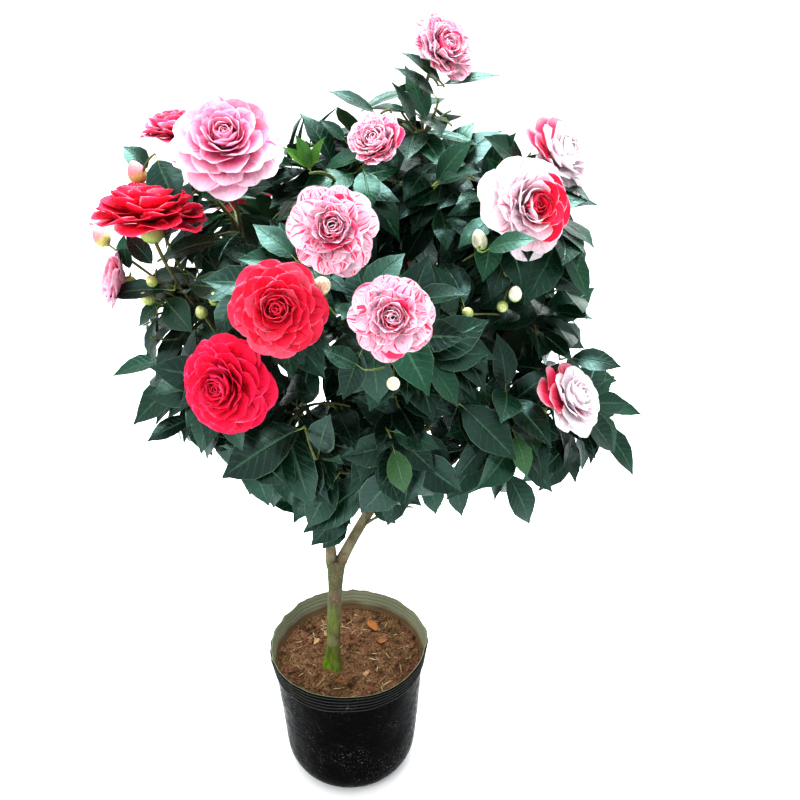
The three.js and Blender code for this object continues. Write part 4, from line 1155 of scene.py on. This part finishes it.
# %% Buds
LEAF_GREEN = (150, 172, 96)
BUD_LOOKS = {
    # core colour, scale colour, how far up the scales reach, length over thickness,
    # rings of scales, the core's share of the thickness
    "pink": ((232, 128, 150), (188, 196, 118), 0.62, 1.25, 3, 0.94),
    "cream": ((244, 226, 206), (214, 206, 158), 0.8, 1.15, 3, 0.94),
    "green": ((206, 214, 158), LEAF_GREEN, 1.0, 1.1, 3, 0.94),
    "tall": ((250, 250, 232), (150, 176, 84), 0.5, 1.6, 3, 0.94),
    "calyx": (LEAF_GREEN, LEAF_GREEN, 1.0, 1.0, 2, 0.8),
}
cores, core_radii, core_tints, scales = [], [], [], []
s = np.linspace(0, 1, 11)
EGG = np.maximum(2.3 * s**0.5 * (1 - s) ** 0.72, 0.04)      # radius along an egg


def bud(place, facing, half, kind):
    """An egg, with rings of 5 scales that lean out and bend back over it; ring k starts
    half a step further round than the one before."""
    core, tone, cover, slim, rings, share = BUD_LOOKS[kind]
    cores.append(place + facing * (2 * s[:, None] - 1) * half * slim)
    core_radii.append(EGG * half * share)
    core_tints.append(blend(tone, core, (s - cover * 0.55) * 5))
    for k, j in np.ndindex(rings, 5):
        chance = luck.random(8)
        around = beside(facing, (j + 0.5 * k) * math.tau / 5 + 0.3 * chance[4])
        foot = place - facing * half * slim * (0.98 - 0.04 * k) + around * half * 0.1
        length = half * (0.95 + 0.42 * k) * cover * slim**0.5
        made = petal(facing, around, math.radians(80 - 14 * k), length, half * (1.15 - 0.05 * k),
                     -1.5 - 0.1 * k, 0.42, foot, chance * 0.3)
        made["tint"] = (*np.array(srgb(*tone)[:3]) * (0.6 + 0.45 * chance[5]), 1)
        made["thick"] = 0.4 * MM
        scales.append(made)


for place, facing, half, kind in heads:
    bud(place, facing, half, kind)
for _, centre, width, facing, *_ in BLOOMS:
    bud(centre - facing * 0.2 * width, facing, 0.13 * width, "calyx")
bud_cores = rod_piece("bud_cores", np.array(cores), np.array(core_radii),
                      twig_finish("bud_skin", 500.0, (150, 150, 84)), core_tints)
bud_scales = blade_piece("bud_scales", collected(scales), petal_outline, PETAL_ROWS,
                         petal_finish("bud_scale", (206, 208, 156), (110, 136, 70), 0.2, 8.0, 0.7))

# %% [markdown]
# ## The pot
# The pot is blow-moulded film, barely 2 mm thick: a rounded foot, a body that opens a
# little towards the top, and a band with thin hoops under a soft rim that is no longer
# quite round. It is one profile turned round the axis, with dents added by noise. The
# crests of the hoops carry painted highlights. Inside, the black film is painted a light
# grey-green, which is painted light on the lit inner wall, and it is stained brown where
# watering has splashed it above the soil.

# %% The pot's profile
POT_HEIGHT, FOOT_RADIUS, BAND, WALL, POT_FLOOR = np.array([208, 68, 30, 2, 3]) * MM
POT_SIDES, HOOPS = 160, 5


def turned(radius, z, a):
    """A profile turned round the pot's axis: (r sin a, -r cos a, z)."""
    return together(radius * np.sin(a), -radius * np.cos(a), z)


def pot_radius(z):
    """Foot plus 24 mm (1 - e^(-z / 11 mm)) plus 12 mm per 178 mm of height, and the band
    stands 2 mm out with hoops that are a raised cosine."""
    plain = FOOT_RADIUS + 24 * MM * (1 - np.exp(-z / (11 * MM))) + 12 * z / 178
    up = np.clip((z - POT_HEIGHT + BAND) / BAND, 0, 1)
    hoops = 1.1 * MM * np.maximum(0, np.cos(2 * np.pi * HOOPS * up - math.pi)) ** 3
    return plain + np.where(up > 0, 1.6 * MM + 2.2 * MM * up + hoops, 0)


wall_z = np.concatenate([np.linspace(0, 1, 14)[1:] ** 2 * 30, np.linspace(36, 172, 26),
                         np.linspace(176.5, 206.4, 52)]) * MM
outer_r = pot_radius(wall_z)
lip_a = np.linspace(0, np.pi, 7)[1:-1]
lip_r = outer_r[-1] - 1.1 * MM + 1.3 * MM * np.cos(lip_a)
lip_z = wall_z[-1] + 1.5 * MM * np.sin(lip_a)
foot_r, foot_z = np.array([1, 60, 66]) * MM, np.array([0.6, 0.6, 0]) * MM
profile_r = np.concatenate([foot_r, outer_r, lip_r, outer_r[::-1] - WALL, [55 * MM, 1 * MM]])
profile_z = np.concatenate([foot_z, wall_z, lip_z, np.maximum(wall_z[::-1], POT_FLOOR), [POT_FLOOR] * 2])
inside = np.arange(len(profile_r)) >= len(foot_r) + len(wall_z) + 2
print("profile", len(profile_r), "points")

# %% The pot, dented and stained
a = ring_angles(POT_SIDES)[None]
z, r = profile_z[:, None], profile_r[:, None]
around_x, around_y = np.cos(a) * 0.1, np.sin(a) * 0.1
dents = rough(together(around_x, around_y, z), 0.035, 21)
creases = rough(together(around_x, around_y, z * 0.5), 0.011, 22)
ragged = rough(together(around_x, around_y, 0 * z), 0.009, 23)
splash = rough(together(around_x, around_y, 0 * z), 0.02, 24)
free = np.clip((z - 40 * MM) / (160 * MM), 0, 1)
slack = np.clip((z - 176 * MM) / (32 * MM), 0, 1)
r = r * (1 + 0.006 * free * np.cos(2 * a + 0.7) + 0.004 * free * np.cos(3 * a + 2)) + (
    (0.9 * dents + 0.35 * creases) * MM * np.clip(z / (30 * MM), 0, 1))
r = r + slack**2 * ragged * 1.3 * MM
z = z + (1.4 * np.cos(3 * a + 1) + 0.8 * np.cos(7 * a) + 1.2 * ragged) * MM * slack
# painted light: the inner wall gets a light grey-green against the black outside, standing in for the light
# on the lit inner wall
tone = blend((3, 3, 4), (146, 150, 126), inside)
# painted highlight: the crests of the band's hoops are lightened, more on the inside, where light catches
# them
hoop_highlight = np.cos(2 * np.pi * HOOPS * (profile_z - POT_HEIGHT + BAND) / BAND - math.pi)
hoop_highlight = np.clip((hoop_highlight - 0.6) / 0.4, 0, 1) * (profile_z > POT_HEIGHT - BAND)
tone = toward(tone, (150, 152, 146), np.where(inside, 0.5, 0.22) * hoop_highlight)
stain = inside[:, None] * np.clip((190 * MM + 5 * MM * splash - z) / (9 * MM), 0, 0.85)
pot_shell = piece("pot_shell", turned(r, z, a), rod_faces(1, len(profile_r), POT_SIDES), pot_finish(),
                  toward(tone[:, None], (116, 88, 62), stain), sharp=80)

# %% [markdown]
# ## Soil
# Loam fills the pot to a thumb's width under the rim and rises a little round the trunk.
# Its relief is three sizes of noise. Crumbs, straw and a few bark chips lie on top, each
# dropped at the height that the same relief has at its place.

# %% Soil
SOIL_LEVEL, SOIL_SIDES = 180 * MM, 200


def soil_height(x, y):
    """Level, less a dip towards the wall, plus a swell round the trunk, plus clods."""
    out = np.hypot(x, y) / (104 * MM)
    near = np.hypot(x - TRUNK_FOOT[0], y - TRUNK_FOOT[1]) / (30 * MM)
    flat = together(x, y, 0)
    clods = 2.6 * rough(flat, 0.034, 31) + 2.4 * rough(flat, 0.013, 32) + 1.6 * rough(flat, 0.0055, 33)
    return SOIL_LEVEL + (2.0 * np.exp(-near**2) - 3.0 * out**2 + clods * (1 - 0.6 * out**8)) * MM


a = ring_angles(SOIL_SIDES)[None]
top_r = np.linspace(1, 0.004, 90)[:, None] * (pot_radius(np.array(SOIL_LEVEL - 4 * MM)) - 1.5 * MM)
top = turned(top_r, 0, a)
top[..., 2] = soil_height(top[..., 0], top[..., 1])
under_z = np.array([4, 4, 20, 60, 120, 168]) * MM
under_r = np.append(0.5 * MM, pot_radius(under_z[1:]) - 2.5 * MM)
soil_points = np.concatenate([turned(under_r[:, None], under_z[:, None], a), top])
red = rough(soil_points, 0.03, 35).ravel() + 0.4 * rough(soil_points, 0.01, 36).ravel()
soil_tint = blend((104, 84, 56), (132, 92, 70), 0.5 + 0.7 * red)
soil_mound = piece("soil_mound", soil_points, rod_faces(1, len(soil_points), SOIL_SIDES),
                   soil_finish(), soil_tint)

# %% Crumbs on the soil
scatter = np.random.default_rng(17)


def dropped(count, spread_to):
    """Places on the soil: a chance direction, and a radius by the square root of chance."""
    angle, radius = scatter.random(count) * math.tau, np.sqrt(scatter.random(count)) * spread_to
    x, y = radius * np.cos(angle), radius * np.sin(angle)
    away = np.hypot(x - TRUNK_FOOT[0], y - TRUNK_FOOT[1]) > 17 * MM
    return x[away], y[away]


x, y = dropped(900, 98 * MM)
size = (0.7 + 2.6 * scatter.random(len(x)) ** 3) * MM
lean = unit(scatter.normal(size=(len(x), 3)) * [1, 1, 0.5])[:, None]
s = np.linspace(-1, 1, 6)
middle = np.stack([x, y, soil_height(x, y) + size * 0.4], -1)[:, None]
plump = 0.7 + 0.6 * scatter.random((len(x), len(s), SIDES["soil_crumbs"]))
crumbs = rod_piece("soil_crumbs", middle + lean * (s[:, None] * size[:, None, None] * 1.25),
                   size[:, None, None] * np.sqrt(1.02 - s**2)[None, :, None] * plump, soil_finish(),
                   blend((70, 50, 36), (154, 112, 84), scatter.random(len(x))), sharp=40)

# %% Straw on the soil
x, y = dropped(80, 90 * MM)
long = (7 + 20 * scatter.random(len(x)) ** 2) * MM
heading = scatter.random(len(x)) * math.tau
s = np.linspace(-0.5, 0.5, 7)
straw_x = x[:, None] + np.cos(heading)[:, None] * s * long[:, None]
straw_y = y[:, None] + np.sin(heading + 0.5 * s[:, None]).T * s * long[:, None]
straw_z = soil_height(straw_x, straw_y).mean(axis=1, keepdims=True) + (1.6 - 5 * s**2) * MM
straw_radii = (0.35 + 0.55 * scatter.random(len(x)))[:, None] * (1.1 - np.abs(s) * 1.3) * MM
straw = rod_piece("straw", np.stack([straw_x, straw_y, straw_z], -1), straw_radii,
                  twig_finish("dry_straw", 900.0, (150, 120, 78)),
                  blend((196, 170, 120), (228, 212, 178), scatter.random(len(x))))

# %% Bark chips on the soil
# place in two figures, length, the way it points, colour
CHIPS = [(38, 44, 26, 2.0, (190, 124, 70)), (20, 36, 16, 0.4, (172, 112, 66)),
         (56, 30, 18, 3.6, (182, 126, 78)), (-52, 20, 14, 1.1, (214, 190, 140)),
         (-38, 44, 12, 5.0, (206, 184, 138)), (30, -34, 14, 4.1, (206, 172, 132)),
         (-8, -52, 12, 2.6, (150, 96, 60)), (62, -22, 13, 0.9, (160, 110, 74))]
chips = []
ground = soil_height(*np.array([chip[:2] for chip in CHIPS]).T * MM)
for (x, y, long, turn, tone), level in zip(CHIPS, ground):
    around = unit(np.array([math.cos(turn), math.sin(turn), 0.12]))
    made = petal(np.array([0.1, 0, 1.0]), around, math.radians(88), long * MM, long * 0.62 * MM, 0.3, -0.2,
                 np.array([x * MM, y * MM, level + 2.2 * MM]), scatter.random(8))
    made.update(tint=srgb(*tone), thick=1.4 * MM)
    chips.append(made)
bark_chips = blade_piece("bark_chips", collected(chips), petal_outline, PETAL_ROWS,
                         petal_finish("bark_chip", (150, 96, 56), (116, 70, 40), 0.4, 8.0, 0.7))

# %% [markdown]
# ## Floor and light
# A very wide pale floor under a white sky makes the plain white ground. Light is soft: a
# wide panel overhead gives the leaves their cool sheen, a smaller one from the front left
# shapes the blooms, and a faint one behind lifts the far side of the crown.

# %% Floor and lights
FAR = 60
floor_mesh = bpy.data.meshes.new("floor")
corners = [(-FAR, -FAR, 0), (FAR, -FAR, 0), (FAR, FAR, 0), (-FAR, FAR, 0)]
floor_mesh.from_pydata(corners, [], [(0, 1, 2, 3)])
floor = bpy.data.objects.new("floor", floor_mesh)
bpy.context.collection.objects.link(floor)
floor_paint, tree, surface = shader("pale_floor", Roughness=0.9, Specular_IOR_Level=0.1)
speckle = noise(tree, object_places(tree), 30.0)
tree.links.new(mixed(tree, speckle, srgb(252, 252, 252), srgb(255, 255, 255)), surface.inputs["Base Color"])
floor_mesh.materials.append(floor_paint)

sky = bpy.data.worlds.new("sky")
sky.use_nodes = True
tree = sky.node_tree
tree.nodes["Background"].inputs["Color"].default_value = (0.96, 0.98, 1, 1)
up = add(tree, "SeparateXYZ", {0: add(tree, "TexCoord", {}).outputs["Generated"]}).outputs[2]
tree.links.new(spread(tree, up, -0.05, 0.85, 0.58, 1.4), tree.nodes["Background"].inputs["Strength"])
bpy.context.scene.world = sky
shown = bpy.context.scene.view_settings
shown.view_transform = "Standard"
shown.gamma = 0.78
shown.exposure = 0.44


def panel(name, place, aim, size, watts, colour):
    """A square area light at place, turned so that its -Z looks at aim."""
    light = bpy.data.lights.new(name, "AREA")
    light.size, light.energy, light.color = size, watts, colour
    made = bpy.data.objects.new(name, light)
    made.location = place
    made.rotation_euler = (Vector(aim) - Vector(place)).to_track_quat("-Z", "Y").to_euler()
    bpy.context.collection.objects.link(made)


panel("overhead", (0.1, 0.3, 2.4), (0.05, 0, 0.6), 1.4, 84, (0.88, 0.95, 1))
panel("front_left", (-1.5, -2.0, 1.9), (0.05, 0, 0.6), 1.2, 24, (1, 0.98, 0.96))
panel("behind", (0.9, 1.9, 1.5), (0.05, 0, 0.7), 1.4, 8, (1, 1, 1))

# %% [markdown]
# ## The pieces on the part
# Every piece rides on the one body of the part. The fine wood, foliage, pot and soil stand
# in for the plain solids, which are hidden.

# %% Pieces and solids
wood_nodes = [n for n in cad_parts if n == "trunk" or n.startswith(("limb_", "bough_", "leader"))]
mass_nodes = [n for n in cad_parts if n.startswith("leaves_")]
for made in [bark, twig_piece, stalk_piece, *foliage, *bloom_pieces, bud_cores, bud_scales,
             pot_shell, soil_mound, crumbs, straw, bark_chips]:
    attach(made, "root")
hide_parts(*wood_nodes)
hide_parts(*mass_nodes)
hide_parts("pot")
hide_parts("soil")
